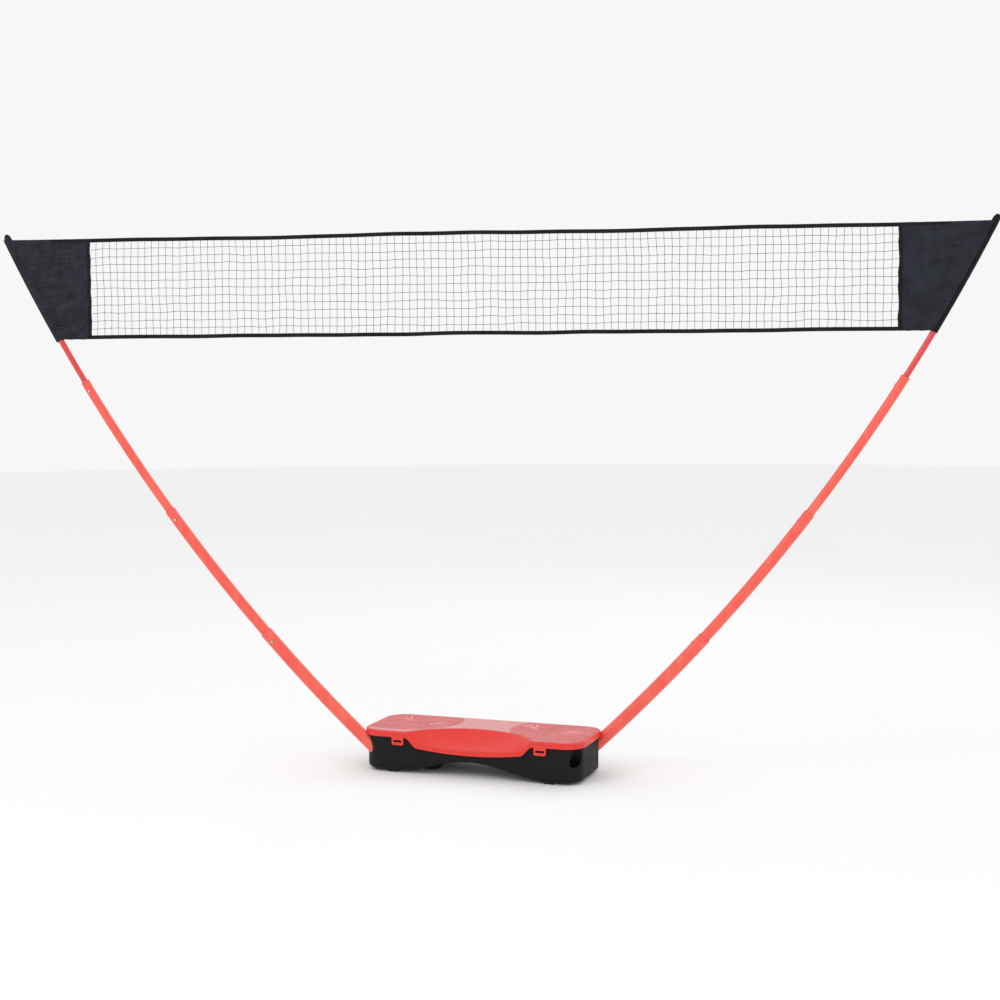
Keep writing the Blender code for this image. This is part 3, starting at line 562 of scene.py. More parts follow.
def bowed(side, slopes, radii, sides=40):
    """A profile of (slope, radius) carried round a pole's arc: each ring is a circle across the arc."""
    centre, axis, outward = pole_axes(side)
    slopes, radii = np.asarray(slopes, float), np.asarray(radii, float)
    ray = np.cos(slopes)[:, None] * np.array((0, 0, -1)) + np.sin(slopes)[:, None] * outward
    angle = np.linspace(0, 2 * math.pi, sides + 1)
    across = radii[:, None, None] * np.sin(angle)[None, :, None] * axis
    reach = BEND_RADIUS + radii[:, None] * np.cos(angle)[None]
    return centre + reach[..., None] * ray[:, None] + across


def pole_tube(side, number):
    """A tube section: the outer wall, a rolled mouth, and the inner wall back to the start."""
    name = f"pole_{side}_tube_{number}"
    start, end, radius = node_run(side, name)
    wall = TUBE_WALLS[number - 1]
    turn = MOUTH_ROUND / BEND_RADIUS
    body = np.linspace(start, end - 8 * turn, 40)
    roll = np.linspace(0, math.pi, 9)
    swell = MOUTH_SWELL if number < 4 else 0.0
    mouth_slope = end - turn + np.sin(roll) * turn
    mouth_radius = radius + swell - wall / 2 + np.cos(roll) * wall / 2
    slopes = [*body, end - 6 * turn, *mouth_slope, *body[::-1], start]
    radii = [*(0 * body + radius), radius + swell, *mouth_radius, *(0 * body + radius - wall), radius]
    piece = mesh_object(f"tube_{number}_{side}", [bowed(side, slopes, radii)], sharp=50)
    finish, slot = ("rod", "rod_glassfibre") if number == 4 else ("tube", "pole_tube")
    placed(piece, f"pole_{side}_{number}", FINISHES[finish], slot, name)


def button_place(side, number):
    """(the point on the pole's centre line below it, the way it faces) of a snap button."""
    joint = next(j for j in frame["joints"] if j["name"] == f"button_{side}_{number}_press")
    facing = -np.array(joint["axis"])
    facing /= np.linalg.norm(facing)
    _, mouth, _ = node_run(side, f"pole_{side}_tube_{number}")
    slope = mouth - BUTTON_FROM_MOUTH / BEND_RADIUS
    return pole_point(side, slope), facing


def snap_button(side, number):
    """A domed pin with a round edge, and a thin black ring round it on the tube that paints the dark shadow
    line at the hole's edge.
    """
    centre, facing = button_place(side, number)
    _, _, radius = node_run(side, f"pole_{side}_tube_{number}")
    top = radius + BUTTON_PROUD
    dome = np.linspace(0, math.pi / 2, 9)
    round_top = np.column_stack([BUTTON_RADIUS * np.sin(dome), top - BUTTON_DOME * (1 - np.cos(dome))])
    foot = radius - 0.0105 + 0.0016 * number
    profile = [*round_top, (BUTTON_RADIUS, foot + 0.001), (BUTTON_RADIUS, foot), (0, foot)]
    pin = mesh_object(f"button_{side}_{number}", [turned(profile, centre, facing)])
    placed(pin, f"button_{side}_{number}", FINISHES["steel"], "steel", f"snap_button_{side}_{number}")
    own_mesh(pin)
    # Painted shade: a thin black torus half sunk in the tube round the pin stands for the shadow line in
    # the hole's gap.
    around = np.linspace(0, 2 * math.pi, 25)
    shadow_bead = np.column_stack([0.0005 + 0.0004 * np.cos(around), -0.0004 + 0.0005 * np.sin(around)])
    ring = turned(shadow_bead + (BUTTON_RADIUS, radius), centre, facing, 24)
    edge = mesh_object(f"button_hole_edge_{side}_{number}", [ring])
    placed(edge, f"pole_{side}_{number}", FINISHES["inner"], "plug_plastic")


def rod_tip(side):
    """The rod's round black cap, a dome a little wider than the rod."""
    _, end, radius = node_run(side, f"pole_{side}_tube_4")
    start = pole_point(side, end)
    along = pole_point(side, end + 1e-4) - start
    turn = np.linspace(0.15, 1.45, 9)
    dome = np.column_stack([radius * np.sin(turn), CAP_LENGTH * np.cos(turn) ** 0.8])
    profile = [(0.0, CAP_LENGTH), *dome, (radius + 0.0001, SEAM), (0, SEAM)]
    cap = mesh_object(f"rod_cap_{side}", [turned(profile, start, along)], sharp=60)
    placed(cap, f"pole_{side}_4", FINISHES["inner"], "cap_plastic", f"tip_cap_{side}")


# ---- case ----

def outline(half, corner, fronts):
    """A rounded rectangle as (points, outward normals), from the front left round by the right.

    fronts are the x places along both long sides; a corner is a quarter circle.
    """
    a, b = half[0] - corner, half[1] - corner
    points, normals = [], []

    def straight(xs, ys, normal):
        points.append(np.stack(np.broadcast_arrays(xs, ys), -1).astype(float))
        normals.append(np.broadcast_to(normal, (len(points[-1]), 2)))

    def quarter(x, y, start):
        angle = np.radians(np.linspace(start, start + 90, 22))
        ray = np.stack([np.cos(angle), np.sin(angle)], -1)
        points.append(np.array((x, y)) + corner * ray)
        normals.append(ray)

    straight(fronts, np.full(len(fronts), -half[1]), (0, -1))
    quarter(a, -b, -90)
    straight(np.full(7, half[0]), np.linspace(-b, b, 9)[1:-1], (1, 0))
    quarter(a, b, 0)
    straight(fronts[::-1], np.full(len(fronts), half[1]), (0, 1))
    quarter(-a, b, 90)
    straight(np.full(7, -half[0]), np.linspace(b, -b, 9)[1:-1], (-1, 0))
    quarter(-a, -b, 180)
    points, normals = np.concatenate(points), np.concatenate(normals)
    return np.concatenate([points, points[:1]]), np.concatenate([normals, normals[:1]])


def lip_low(x):
    """The lid's lower front edge: level, then a ramp at each end of a shallow bow."""
    away = np.abs(x)
    ramp = (LIP_HALF_WIDTH - away) / (LIP_HALF_WIDTH - LIP_SHOULDER)
    ramp = np.clip(ramp, 0, 1)
    ramp = ramp * ramp * (3 - 2 * ramp)
    bow = np.clip(1 - (away / LIP_SHOULDER) ** 2, 0, 1)
    return RIM_BOTTOM - LIP_SHOULDER_DROP * ramp - (LIP_DROP - LIP_SHOULDER_DROP) * bow


def front_places():
    inner = np.linspace(-LIP_HALF_WIDTH, LIP_HALF_WIDTH, 71)
    outer = np.linspace(LIP_HALF_WIDTH, LID_HALF[0] - LID_CORNER, 9)[1:]
    return np.concatenate([-outer[::-1], inner, outer])


def rim_low(points, normals):
    """The rim's lower edge all round: the lip's line along the front, level elsewhere."""
    level = np.full(len(points), RIM_BOTTOM)
    return np.where(normals[:, 1] < -0.999, lip_low(points[:, 0]), level) + SEAM


def lid_rim():
    """A rounded section carried round the lid's outline, dipping along the front to make the handle."""
    points, normals = outline(LID_HALF, LID_CORNER, front_places())
    low = rim_low(points, normals)
    turn = np.linspace(0, math.pi / 2, 6)
    r = 0.0032
    section = [(0.0006, 0.0), (0.0, 0.0006), (0.0, 0.0066)]
    section += [(0.0007, 0.0074), (0.0007, 0.0086), (0.0, 0.0094)]
    section += [(r - r * math.cos(a), RIM_HEIGHT - SEAM - r + r * math.sin(a)) for a in turn]
    section += [(0.0052, 0.01768), (0.0062, 0.01705), (0.0072, 0.01768), (LIP_THICKNESS, 0.0176)]
    section += [(LIP_THICKNESS, 0.0146), (0.0060, 0.0125), (0.0042, 0.0110)]
    section += [(0.0042, 0.0006), (0.0036, 0.0), section[0]]
    rings = [np.column_stack([points - inset * normals, low + height]) for inset, height in section]
    rim = mesh_object("lid_rim", [np.array(rings)], sharp=50)
    cut_for_poles(rim, 0.0021)
    placed(rim, "lid", FINISHES["lid"], "lid_plastic", "lid_shell")


def hole_line(side, mirrored=False):
    """Two points on a pole's centre line, just inside and well outside the case, or mirrored in X."""
    start, _, _ = node_run(side, f"pole_{side}_tube_1")
    ends = pole_point(side, start + np.array((0.022, 0.150)) / BEND_RADIUS)
    return ends * ((-1, 1, 1) if mirrored else (1, 1, 1))


def subtract(obj, low, high, radius):
    """Cuts a round hole through a piece."""
    reach = np.linalg.norm(high - low)
    profile = [(0, 0), (radius, 0), (radius, reach), (0, reach)]
    cutter = mesh_object("cutter", [turned(profile, low, high - low, 48)])
    with_modifier(obj, "BOOLEAN", object=cutter, operation="DIFFERENCE", solver="EXACT")
    resharpen(obj, 40)
    bpy.data.objects.remove(cutter)


def cut_for_poles(obj, clearance, mirrored=(False,)):
    for side in SIDES:
        _, _, radius = node_run(side, f"pole_{side}_tube_1")
        for mirror in mirrored:
            low, high = hole_line(side, mirror)
            subtract(obj, low, high, radius + clearance)


def scoop_arc():
    """(centre y, radius) of the arc through the lip's two ends and the scoop's deepest point."""
    radius = (LIP_HALF_WIDTH**2 + SCOOP_DEPTH**2) / (2 * SCOOP_DEPTH)
    return -LID_HALF[1] + SCOOP_DEPTH - radius, radius


def deck_columns(inset, border=0.0):
    """(x places, front y, rear y) of the lid's top inside its rim, with the scoop's arc in front."""
    a, b = LID_HALF[0] - LID_CORNER, LID_HALF[1] - LID_CORNER
    turn = np.linspace(0, math.pi / 2, 18)[1:]
    corner = LID_CORNER - inset
    ends = a + corner * np.sin(turn)
    xs = np.concatenate([-ends[::-1], front_places(), ends])
    over = np.clip(np.abs(xs) - a, 0, None)
    rear = b + np.sqrt(np.clip(corner**2 - over**2, 0, None))
    centre, radius = scoop_arc()
    arc = centre + np.sqrt(np.clip((radius + border) ** 2 - xs**2, 0, None))
    return xs, np.maximum(-rear, arc), rear


def deck_sheet(height, inset, border=0.0, rows=26):
    """The lid's top as a ruled grid between the front and rear edges of each column."""
    xs, front, rear = deck_columns(inset, border)
    share = np.linspace(0, 1, rows)[:, None]
    y = front * (1 - share) + rear * share
    return np.stack([np.broadcast_to(xs, y.shape), y, np.full(y.shape, height)], -1)


def scoop_sheet():
    """The hand scoop: lines run in from the arc towards its centre, down a quarter-round wall to a trough.

    The depth at a share s of the way out is drop (1 - s^2), scaled so that it meets the lip. The last row
    turns down behind the lip.
    """
    centre, radius = scoop_arc()
    back = -LID_HALF[1] + LIP_THICKNESS - 0.0004
    xs = front_places()
    top = np.sqrt(radius**2 - np.clip(np.abs(xs), 0, LIP_HALF_WIDTH) ** 2)
    keep = centre + top > back
    xs, top = xs[keep], top[keep]
    ray = np.stack([xs, top], -1) / radius
    reach_lip = (back - centre) / ray[:, 1]
    share = np.linspace(0, 1, 30)[:, None] ** 1.15
    reach = radius * (1 - share) + reach_lip * share
    out = np.clip((reach / radius - 0.6) / 0.4, 0, 1)
    drop = (CASE_HEIGHT - TROUGH_HEIGHT) * (1 - out * out)
    lip_top = lip_low(reach[-1] * ray[:, 0]) + RIM_HEIGHT
    behind_lip = np.maximum(drop[-1], CASE_HEIGHT - lip_top + 0.004)
    drop = drop * behind_lip / np.maximum(drop[-1], 1e-5)
    z = CASE_HEIGHT - SEAM - drop
    grid = np.stack([reach * ray[:, 0], centre + reach * ray[:, 1], z], -1)
    last = grid[-1].copy()
    last[:, 2] -= 0.004
    return np.concatenate([grid, last[None]])


def lid_deck():
    """The red deck and the scoop as one moulded skin with a wall's thickness below it."""
    deck = mesh_object("lid_deck", [deck_sheet(CASE_HEIGHT - SEAM, PANEL_INSET), scoop_sheet()], sharp=40)
    face_up(deck)
    with_modifier(deck, "SOLIDIFY", thickness=DECK_WALL, offset=-1, use_even_offset=False)
    resharpen(deck, 32)
    cut_for_poles(deck, 0.0021)
    placed(deck, "lid", FINISHES["lid"], "lid_plastic")
    profile = [(0, 0.0022), (0.0022, 0.0021), (0.0030, 0.0014), (0.0034, 0.0), (0, 0)]
    for side, sign in SIDES.items():
        low = (sign * BOSS_PLACE[0], BOSS_PLACE[1], TROUGH_HEIGHT - 0.001)
        boss = mesh_object(f"trough_boss_{side}", [turned(profile, low, (0, 0, 1), 24)])
        placed(boss, "lid", FINISHES["lid"], "lid_plastic")


def face_up(obj):
    """Turns an open sheet's faces so that they point up on the whole."""
    total = sum(polygon.normal.z * polygon.area for polygon in obj.data.polygons)
    if total < 0:
        obj.data.flip_normals()


def lid_panel():
    """The printed plate inlaid in the deck, with a rounded edge."""
    sheet = deck_sheet(CASE_HEIGHT + PANEL_PROUD, PANEL_INSET + 0.001, SCOOP_BORDER)
    panel = mesh_object("lid_panel_plate", [sheet])
    face_up(panel)
    with_modifier(panel, "SOLIDIFY", thickness=0.0016, offset=-1)
    with_modifier(panel, "BEVEL", width=0.0005, segments=2, limit_method="ANGLE")
    resharpen(panel, 50)
    placed(panel, "lid", FINISHES["print"], "panel_plastic", "lid_panel")


def stroke(points, width, height):
    """A raised stroke: a shallow arch, height (1 - v^2), along a line on the panel, with tapered ends."""
    line = np.asarray(points, float)
    along = np.gradient(line, axis=0)
    along /= np.linalg.norm(along, axis=1)[:, None]
    side = np.stack([-along[:, 1], along[:, 0]], -1)
    taper = np.sin(np.linspace(0.12, math.pi - 0.12, len(line))) ** 0.5
    v = np.linspace(-1, 1, 9)
    flat = line[:, None] + side[:, None] * (v[None, :, None] * (width / 2 * taper)[:, None, None])
    top = CASE_HEIGHT + PANEL_PROUD + height * (1 - v[None] ** 2) * taper[:, None]
    base = np.full(top.shape, CASE_HEIGHT + PANEL_PROUD - 0.0004)
    upper = np.concatenate([flat, top[..., None]], -1)
    lower = np.concatenate([flat, base[..., None]], -1)
    return end_closed(np.concatenate([upper, lower[:, ::-1], upper[:, :1]], 1))


def shuttle_strokes(x, y, size, turn):
    """A plain shuttlecock sign: three feather lines that spread from a round nose."""
    spin = np.array([[math.cos(turn), -math.sin(turn)], [math.sin(turn), math.cos(turn)]])
    share = np.linspace(0, 1, 14)[:, None]
    grids = []
    for lean in (-0.42, 0.0, 0.42):
        tip = np.array((math.sin(lean), math.cos(lean))) * size
        bend = np.array((lean * 0.10, 0.0)) * size
        grids.append(share * tip + np.sin(share * math.pi) * bend)
    angle = np.linspace(math.pi * 1.15, math.pi * 1.85, 12)
    grids.append(np.stack([np.cos(angle), np.sin(angle)], -1) * size * 0.2 + (0, size * 0.05))
    return [stroke(line @ spin.T + (x, y), 0.0052, 0.0005) for line in grids]


def panel_motifs():
    for name, place in {
        "outer_left": (-0.262, 0.046, 0.060, 0.7), "inner_left": (-0.168, 0.010, 0.058, -0.9),
        "inner_right": (0.152, 0.046, 0.058, 0.6), "outer_right": (0.262, 0.012, 0.060, -0.8),
    }.items():
        sign = mesh_object(f"shuttle_sign_{name}", shuttle_strokes(*place), sharp=60)
        placed(sign, "lid", FINISHES["motif"], "panel_plastic")


def arch_height(x):
    rise = 0.5 + 0.5 * np.cos(math.pi * np.clip(x / ARCH_HALF_SPAN, -1, 1))
    return BODY_BOTTOM + ARCH_RISE * rise


def body_rings(inset, thick):
    """One face of the body's wall in rings: from its top edge, round the corner, to the bottom's middle."""
    points, normals = outline(BODY_HALF, BODY_CORNER, front_places() * 0.94)
    top = np.where(normals[:, 1] < -0.999, lip_low(points[:, 0]), RIM_BOTTOM) - SEAM
    low = arch_height(points[:, 0]) + thick
    edge = BOTTOM_ROUND - thick
    rings = []
    for share in np.linspace(0, 1, 12):
        rings.append(np.column_stack([points - inset * normals, top * (1 - share) + (low + edge) * share]))
    for turn in np.linspace(0, math.pi / 2, 8)[1:]:
        xy = points - (inset + edge - edge * math.cos(turn)) * normals
        rings.append(np.column_stack([xy, arch_height(xy[:, 0]) + thick + edge - edge * math.sin(turn)]))
    rim = rings[-1][:, :2]
    flat_half = BODY_HALF[0] - BODY_CORNER
    spine = np.column_stack([np.clip(rim[:, 0], -flat_half, flat_half), 0 * rim[:, 0]])
    for share in np.linspace(0, 1, 12)[1:]:
        xy = rim * (1 - share) + spine * share
        rings.append(np.column_stack([xy, arch_height(xy[:, 0]) + thick]))
    return np.array(rings)


def case_body():
    """The lower shell: an outer and an inner skin that meet at the top edge, and a hole at each corner."""
    outer, inner = body_rings(0.0, 0.0), body_rings(CASE_WALL, CASE_WALL)
    shell = mesh_object("case_shell", [np.concatenate([outer[::-1], inner])], sharp=45)
    cut_for_poles(shell, HOLE_CLEARANCE, (False, True))
    placed(shell, "case", FINISHES["case"], "case_plastic", "case_base")
    bump = mesh_object("floor_well", [unit_ball(41, 21) * WELL_RADII + WELL_CENTRE])
    placed(bump, "case", FINISHES["case"], "case_plastic")


def hinges():
    """Each hinge: two outer barrels and webs on the body, one between them on the lid."""
    y, z = HINGE_AXIS
    for side, sign in SIDES.items():
        for place in (-1, 0, 1):
            middle = sign * HINGE_X + place * (KNUCKLE_LENGTH + 2 * SEAM)
            low = (middle - KNUCKLE_LENGTH / 2, y, z)
            ring = [(0.0018, 0), (KNUCKLE_RADIUS - 0.0004, 0), (KNUCKLE_RADIUS, 0.0004)]
            ring += [(r, KNUCKLE_LENGTH - h) for r, h in ring[::-1]] + [ring[0]]
            web_low = (low[0] + 0.0006, 0.1215 if place else 0.1300, z - 0.0035 if place else z)
            web_high = (low[0] + KNUCKLE_LENGTH - 0.0006, y, z + (0.002 if place else 0.0085))
            name = f"hinge_{side}_{('outer', 'lid', 'inner')[place + 1]}"
            barrel = mesh_object(name, [turned(ring, low, (1, 0, 0)), soft_block(web_low, web_high)])
            body, finish = ("case", "case") if place else ("lid", "lid")
            placed(barrel, body, FINISHES[finish], "case_plastic" if place else "lid_plastic")


def latches():
    """A flap with a window: a rounded outline carried in to the window's outline, thick at its lower lip.

    Both outlines are |x|^9 + |z|^9 = 1, stretched to size.
    """
    y, z = LATCH_AXIS
    width, height = LATCH_SIZE
    angle = np.linspace(0, 2 * math.pi, 65) + math.pi / 4
    shape = np.stack([squared(np.cos(angle), 2 / 9), squared(np.sin(angle), 2 / 9)], -1)
    outer = shape * (width / 2, height / 2 + LATCH_OVERHANG)
    inner = shape * np.array(LATCH_WINDOW) / 2
    front, back = -LID_HALF[1] - 0.0002, -LID_HALF[1] + LATCH_THICKNESS
    lip_low_z = z - height - 0.0004
    window_z = z - LATCH_WINDOW_DOWN
    tube_wall = [(0.0013, 0), (0.0025, 0), (0.0028, 0.0003)]
    barrel = tube_wall + [(r, width - h) for r, h in tube_wall[::-1]] + tube_wall[:1]
    for side, sign in SIDES.items():
        x = sign * LATCH_X
        rings = []
        for grow, depth in ((0.0, back), (0.0, front + 0.0008), (-0.0008, front)):
            rings.append((outer * (1 + grow / 0.014) + (x, z - height / 2 + LATCH_OVERHANG), depth))
        for grow, depth in ((0.0008, front), (0.0, front + 0.0008), (0.0, back)):
            rings.append((inner * (1 + grow / 0.008) + (x, window_z), depth))
        rings.append(rings[0])
        grid = np.array([np.insert(flat, 1, depth, axis=1) for flat, depth in rings])
        lip_high = (x + LIP_HALF, back - 0.0006, lip_low_z + 0.0052)
        lip = soft_block((x - LIP_HALF, front - 0.0012, lip_low_z), lip_high, 0.001)
        roll = turned(barrel, (x - width / 2, y, z), (1, 0, 0), 24)
        flap = mesh_object(f"latch_flap_{side}", [grid, lip, roll], sharp=50)
        placed(flap, f"latch_{side}", FINISHES["lid"], "latch_plastic", f"latch_{side}")
        catch_low = (x - CATCH_HALF[0], -0.1276, window_z - CATCH_HALF[1])
        catch = soft_block(catch_low, (x + CATCH_HALF[0], -0.1225, window_z + CATCH_HALF[1]))
        placed(mesh_object(f"catch_{side}", [catch]), "case", FINISHES["case"], "case_plastic")


def feet():
    for name in ("front_left", "front_right", "rear_left", "rear_right"):
        low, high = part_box(f"foot_{name}")
        pad = mesh_object(f"pad_{name}", [soft_block(low, (high.x, high.y, high.z + 0.003), 0.0012)])
        placed(pad, "case", FINISHES["rubber"], "foot_rubber", f"foot_{name}")


# ---- net ----

def net_point(x, y, z):
    """A point given along, across and up the net's plane, in world axes."""
    x, y, z = np.broadcast_arrays(x, y, z)
    c, s = math.cos(NET_YAW), math.sin(NET_YAW)
    return np.stack([x * c - y * s, x * s + y * c, z], -1)


def net_box(name):
    """(low, high) of a net node along the net's plane: x along it and z up."""
    points = node_points(name)
    along = points[:, 0] * math.cos(NET_YAW) + points[:, 1] * math.sin(NET_YAW)
    return (along.min(), points[:, 2].min()), (along.max(), points[:, 2].max())


def band(name, line, width, thick, up, sides=16, corner=0.6):
    """A flat closed band: a squashed oval section carried along a line, closed at both ends."""
    angle = np.linspace(0, 2 * math.pi, sides + 1)
    flat = squared(np.cos(angle), corner) * width / 2
    deep = squared(np.sin(angle), 0.8) * thick / 2
    rings = line[:, None] + flat[None, :, None] * np.asarray(up)
    rings = rings + deep[None, :, None] * net_point(0.0, 1.0, 0.0)
    return mesh_object(name, [end_closed(rings)], sharp=60)


def tape(name, line, width, thick, up):
    """A folded tape round the netting, which stands for the CAD node of this name."""
    piece = band(name + "_band", line, width, thick, up, 20, 0.45)
    placed(piece, "case", FINISHES["tape"], "tape_webbing", name)


def ripple(count, size, seed):
    """A slow seeded wave along a line: the sum of five sines with falling height."""
    random = np.random.default_rng(seed)
    share = np.linspace(0, 1, count)
    total = np.zeros(count)
    for k in range(1, 6):
        height = random.normal() / k
        total += height * np.sin(2 * math.pi * (share * k * 2.3 + random.random()))
    return size * total


def tapes():
    for seed, name in enumerate(("top_tape", "bottom_tape")):
        (x0, z0), (x1, z1) = net_box(name)
        x = np.linspace(x0, x1, 160)
        lift = ripple(160, 0.0010, seed + 3) * np.sin(np.linspace(0, math.pi, 160)) ** 0.5
        line = net_point(x, ripple(160, 0.0008, seed + 11), (z0 + z1) / 2 + lift)
        tape(name, line, z1 - z0, 0.0032, (0, 0, 1))
    for seed, side in enumerate(SIDES):
        name = f"side_tape_{side}"
        (x0, z0), (x1, z1) = net_box(name)
        z = np.linspace(z0 - 0.004, z1 + 0.004, 60)
        line = net_point((x0 + x1) / 2 + ripple(60, 0.0009, seed + 21), 0.0002, z)
        tape(name, line, x1 - x0, 0.0030, net_point(1.0, 0.0, 0.0))


def netting():
    """Square netting: cords across and up that wander a little, with a knot wherever two cross.

    A crossing's place is its square grid place plus seeded blurred noise, and the cords run through them.
    """
    (x0, z0), (x1, z1) = net_box("net_mesh")
    x0, z0, x1, z1 = x0 - INTO_TAPE, z0 - INTO_TAPE, x1 + INTO_TAPE, z1 + INTO_TAPE
    rows, columns = CORDS_ACROSS + 2, CORDS_UP + 2
    x = np.linspace(x0, x1, columns)[None] + smooth_noise(rows, columns, 5, 2) * CORD_WANDER
    z = np.linspace(z0, z1, rows)[:, None] + smooth_noise(rows, columns, 6, 2) * CORD_WANDER
    y = smooth_noise(rows, columns, 7, 4) * 0.0016
    x[:, 0], x[:, -1], z[0], z[-1] = x0, x1, z0, z1
    knots = net_point(x, y, z)
    grids = []

    def cord(line, out_of_plane):
        count = len(line)
        share = np.linspace(0, count - 1, (count - 1) * 3 + 1)
        fine = np.stack([np.interp(share, np.arange(count), line[:, i]) for i in range(3)], -1)
        sway = np.sin(share * math.pi)[:, None] ** 2 * 0.0012
        return tube(fine + sway * out_of_plane, TWINE_RADIUS, net_point(0.0, 1.0, 0.0), 5)

    random = np.random.default_rng(8)
    for row in range(1, rows - 1):
        grids.append(cord(knots[row], np.array((0, 0, -0.4 * random.random()))))
    for column in range(1, columns - 1):
        grids.append(cord(knots[:, column], net_point(random.normal() * 0.5, 0.0, 0.0)))
    knot = unit_ball(7, 5) * KNOT_RADIUS * (1.15, 0.85, 1.0)
    for place in knots[1:-1, 1:-1].reshape(-1, 3):
        grids.append(place + knot)
    piece = mesh_object("netting", grids, sharp=180)
    placed(piece, "case", FINISHES["twine"], "mesh_cord", "net_mesh")


def wing_edges(side):
    """(inner edge, lowest and highest, outer edge at a height) of a wing, which ends on its pole's line."""
    sign = SIDES[side]
    (low_x, low_z), (high_x, high_z) = net_box(f"wing_{side}")
    inner = low_x if sign > 0 else high_x
    start, end, _ = node_run(side, f"pole_{side}_tube_4")
    slopes = np.linspace(start, end, 200)
    line = pole_point(side, slopes)
    along = line[:, 0] * math.cos(NET_YAW) + line[:, 1] * math.sin(NET_YAW)
    across = -line[:, 0] * math.sin(NET_YAW) + line[:, 1] * math.cos(NET_YAW)

    def outer(z):
        return np.interp(z, line[:, 2], along), np.interp(z, line[:, 2], across)

    return inner, (low_z, high_z), outer


def crumpled(name, grid, seed):
    """The points of a cloth sheet held round its edge, with a little spare cloth so that it creases."""
    rows, columns = grid.shape[:2]
    random = np.random.default_rng(seed)
    window = np.outer(np.sin(np.linspace(0, math.pi, rows)), np.sin(np.linspace(0, math.pi, columns)))
    push = smooth_noise(rows, columns, seed, 6) * 0.006 * np.sqrt(np.clip(window, 0, 1))
    start = grid + net_point(0.0, 1.0, 0.0) * push[..., None]
    start += random.normal(size=start.shape) * 0.00005
    sheet = mesh_object(name, [start])
    order = np.arange(rows * columns).reshape(rows, columns)
    edge = np.unique(np.concatenate([order[0], order[-1], order[:, 0], order[:, -1]]))
    group = sheet.vertex_groups.new(name="held")
    group.add(edge.tolist(), 1.0, "REPLACE")
    cloth = sheet.modifiers.new("Cloth", "CLOTH")
    cloth.settings.vertex_group_mass = "held"
    cloth.settings.quality = 6
    cloth.settings.mass = 0.08
    cloth.settings.shrink_min = -WING_EXCESS
    cloth.settings.tension_stiffness = 25
    cloth.settings.compression_stiffness = 25
    cloth.settings.shear_stiffness = 8
    cloth.settings.bending_stiffness = 0.02
    cloth.settings.air_damping = 2
    scene = bpy.context.scene
    cloth.point_cache.frame_end = CLOTH_STEPS
    for step in range(1, CLOTH_STEPS + 1):
        scene.frame_set(step)
    graph = bpy.context.evaluated_depsgraph_get()
    settled = bpy.data.meshes.new_from_object(sheet.evaluated_get(graph))
    scene.frame_set(1)
    points = np.empty(len(settled.vertices) * 3, np.float32)
    settled.vertices.foreach_get("co", points)
    bpy.data.objects.remove(sheet)
    return points.reshape(grid.shape).astype(float)


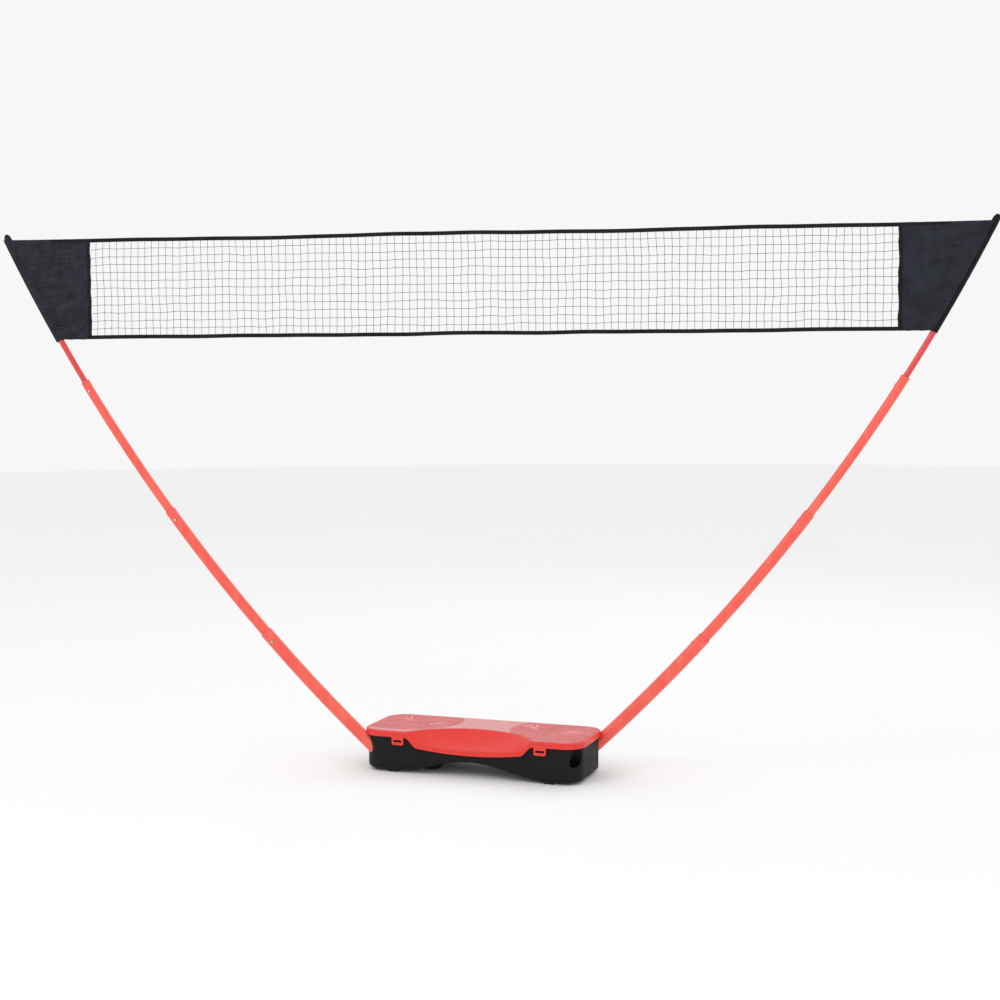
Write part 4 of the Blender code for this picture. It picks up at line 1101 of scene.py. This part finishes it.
def wing(side):
    """The nylon panel between the netting and a pole, creased, with a top hem and a fold along its foot.

    Towards the pole it comes forward, so that it passes in front of the sleeve.
    """
    sign = SIDES[side]
    inner, (low_z, high_z), outer = wing_edges(side)
    z = np.linspace(low_z, high_z, 58)[:, None]
    reach, across = outer(z)
    share = np.linspace(0, 1, 46)[None]
    inner = inner - sign * 0.003
    x = inner * (1 - share) + (reach - sign * 0.004) * share
    y = (across - SLEEVE_FRONT) * share**3
    grid = net_point(x, y - 0.0022 * share, np.broadcast_to(z, x.shape))
    grid = crumpled(f"wing_cloth_{side}", grid, 31 if sign < 0 else 47)
    sheet = mesh_object(f"wing_panel_{side}", [grid], sharp=180)
    with_modifier(sheet, "SUBSURF", levels=1, render_levels=1)
    with_modifier(sheet, "SOLIDIFY", thickness=0.0005, offset=0)
    sheet.data.shade_smooth()
    placed(sheet, "case", FINISHES["wing"], "wing_nylon", f"wing_{side}")
    top = np.linspace(0, 1, 50)
    reach_top, across_top = outer(np.array([high_z - 0.004]))
    hem_x = inner * (1 - top) + (reach_top[0] + sign * 0.002) * top
    hem_y = (across_top[0] * top**3) - 0.002 * top
    line = net_point(hem_x, hem_y, high_z - 0.0048 + ripple(50, 0.0004, 61))
    hem = band(f"wing_hem_{side}", line, 0.0095, 0.0036, (0, 0, 1))
    placed(hem, "case", FINISHES["tape"], "tape_webbing")
    low_reach, low_across = outer(np.array([low_z + 0.002]))
    low_x = inner * (1 - top) + (low_reach[0] - sign * 0.004) * top
    line = net_point(low_x, low_across[0] * top**3 - 0.002, low_z + 0.0028 + ripple(50, 0.0004, 62))
    fold = band(f"wing_fold_{side}", line, 0.0065, 0.0030, (0, 0, 1))
    placed(fold, "case", FINISHES["wing"], "wing_nylon")


def sleeve(side):
    """The pole's fabric sleeve: a thin rippled tube round the rod, open below, that ends past the rod."""
    start, end, radius = node_run(side, f"pole_pocket_{side}")
    turn = 1 / BEND_RADIUS
    slopes = np.concatenate([np.linspace(start, end, 60), [end + 0.004 * turn]])
    wave = 0.00045 * np.sin(np.linspace(0, 46, 61)) * smooth_noise(61, 1, 71, 2)[:, 0]
    radii = radius + wave
    radii[-1] = radius * 0.97
    slopes = np.concatenate([slopes, slopes[::-1], slopes[:1]])
    radii = np.concatenate([radii, np.full(61, radius - 0.0009), radii[:1]])
    piece = mesh_object(f"pole_sleeve_{side}", [bowed(side, slopes, radii, 32)], sharp=60)
    finish = "sleeve" if side == "right" else "wing"
    placed(piece, "case", FINISHES[finish], "pocket_nylon", f"pole_pocket_{side}")
    if side == "left":
        run = np.linspace(start, end, 60)
        line = pole_point(side, run, lift=SLEEVE_FRONT)
        binding = band("sleeve_binding_left", line, 0.0090, 0.0140, pole_axes(side)[2])
        placed(binding, "case", FINISHES["sleeve"], "pocket_nylon")


# ---- nodes kept from the frame ----

def finish_kept_nodes():
    kept = {
        "inner": ("socket_", "foot_plug", "guide_plug", "mouth_bush"),
        "steel": ("hinge_pin", "latch_pin", "button_spring"),
    }
    for name, node in frame["nodes"].items():
        for finish, words in kept.items():
            if any(word in name for word in words):
                node.data.materials.clear()
                node.data.materials.append(FINISHES[finish])


set_camera()
set_studio()
finish_kept_nodes()
case_body()
lid_rim()
lid_deck()
lid_panel()
panel_motifs()
hinges()
latches()
feet()
for pole_side in SIDES:
    for section in range(1, 5):
        pole_tube(pole_side, section)
    for section in range(1, 4):
        snap_button(pole_side, section)
    rod_tip(pole_side)
tapes()
netting()
for wing_side in SIDES:
    wing(wing_side)
    sleeve(wing_side)
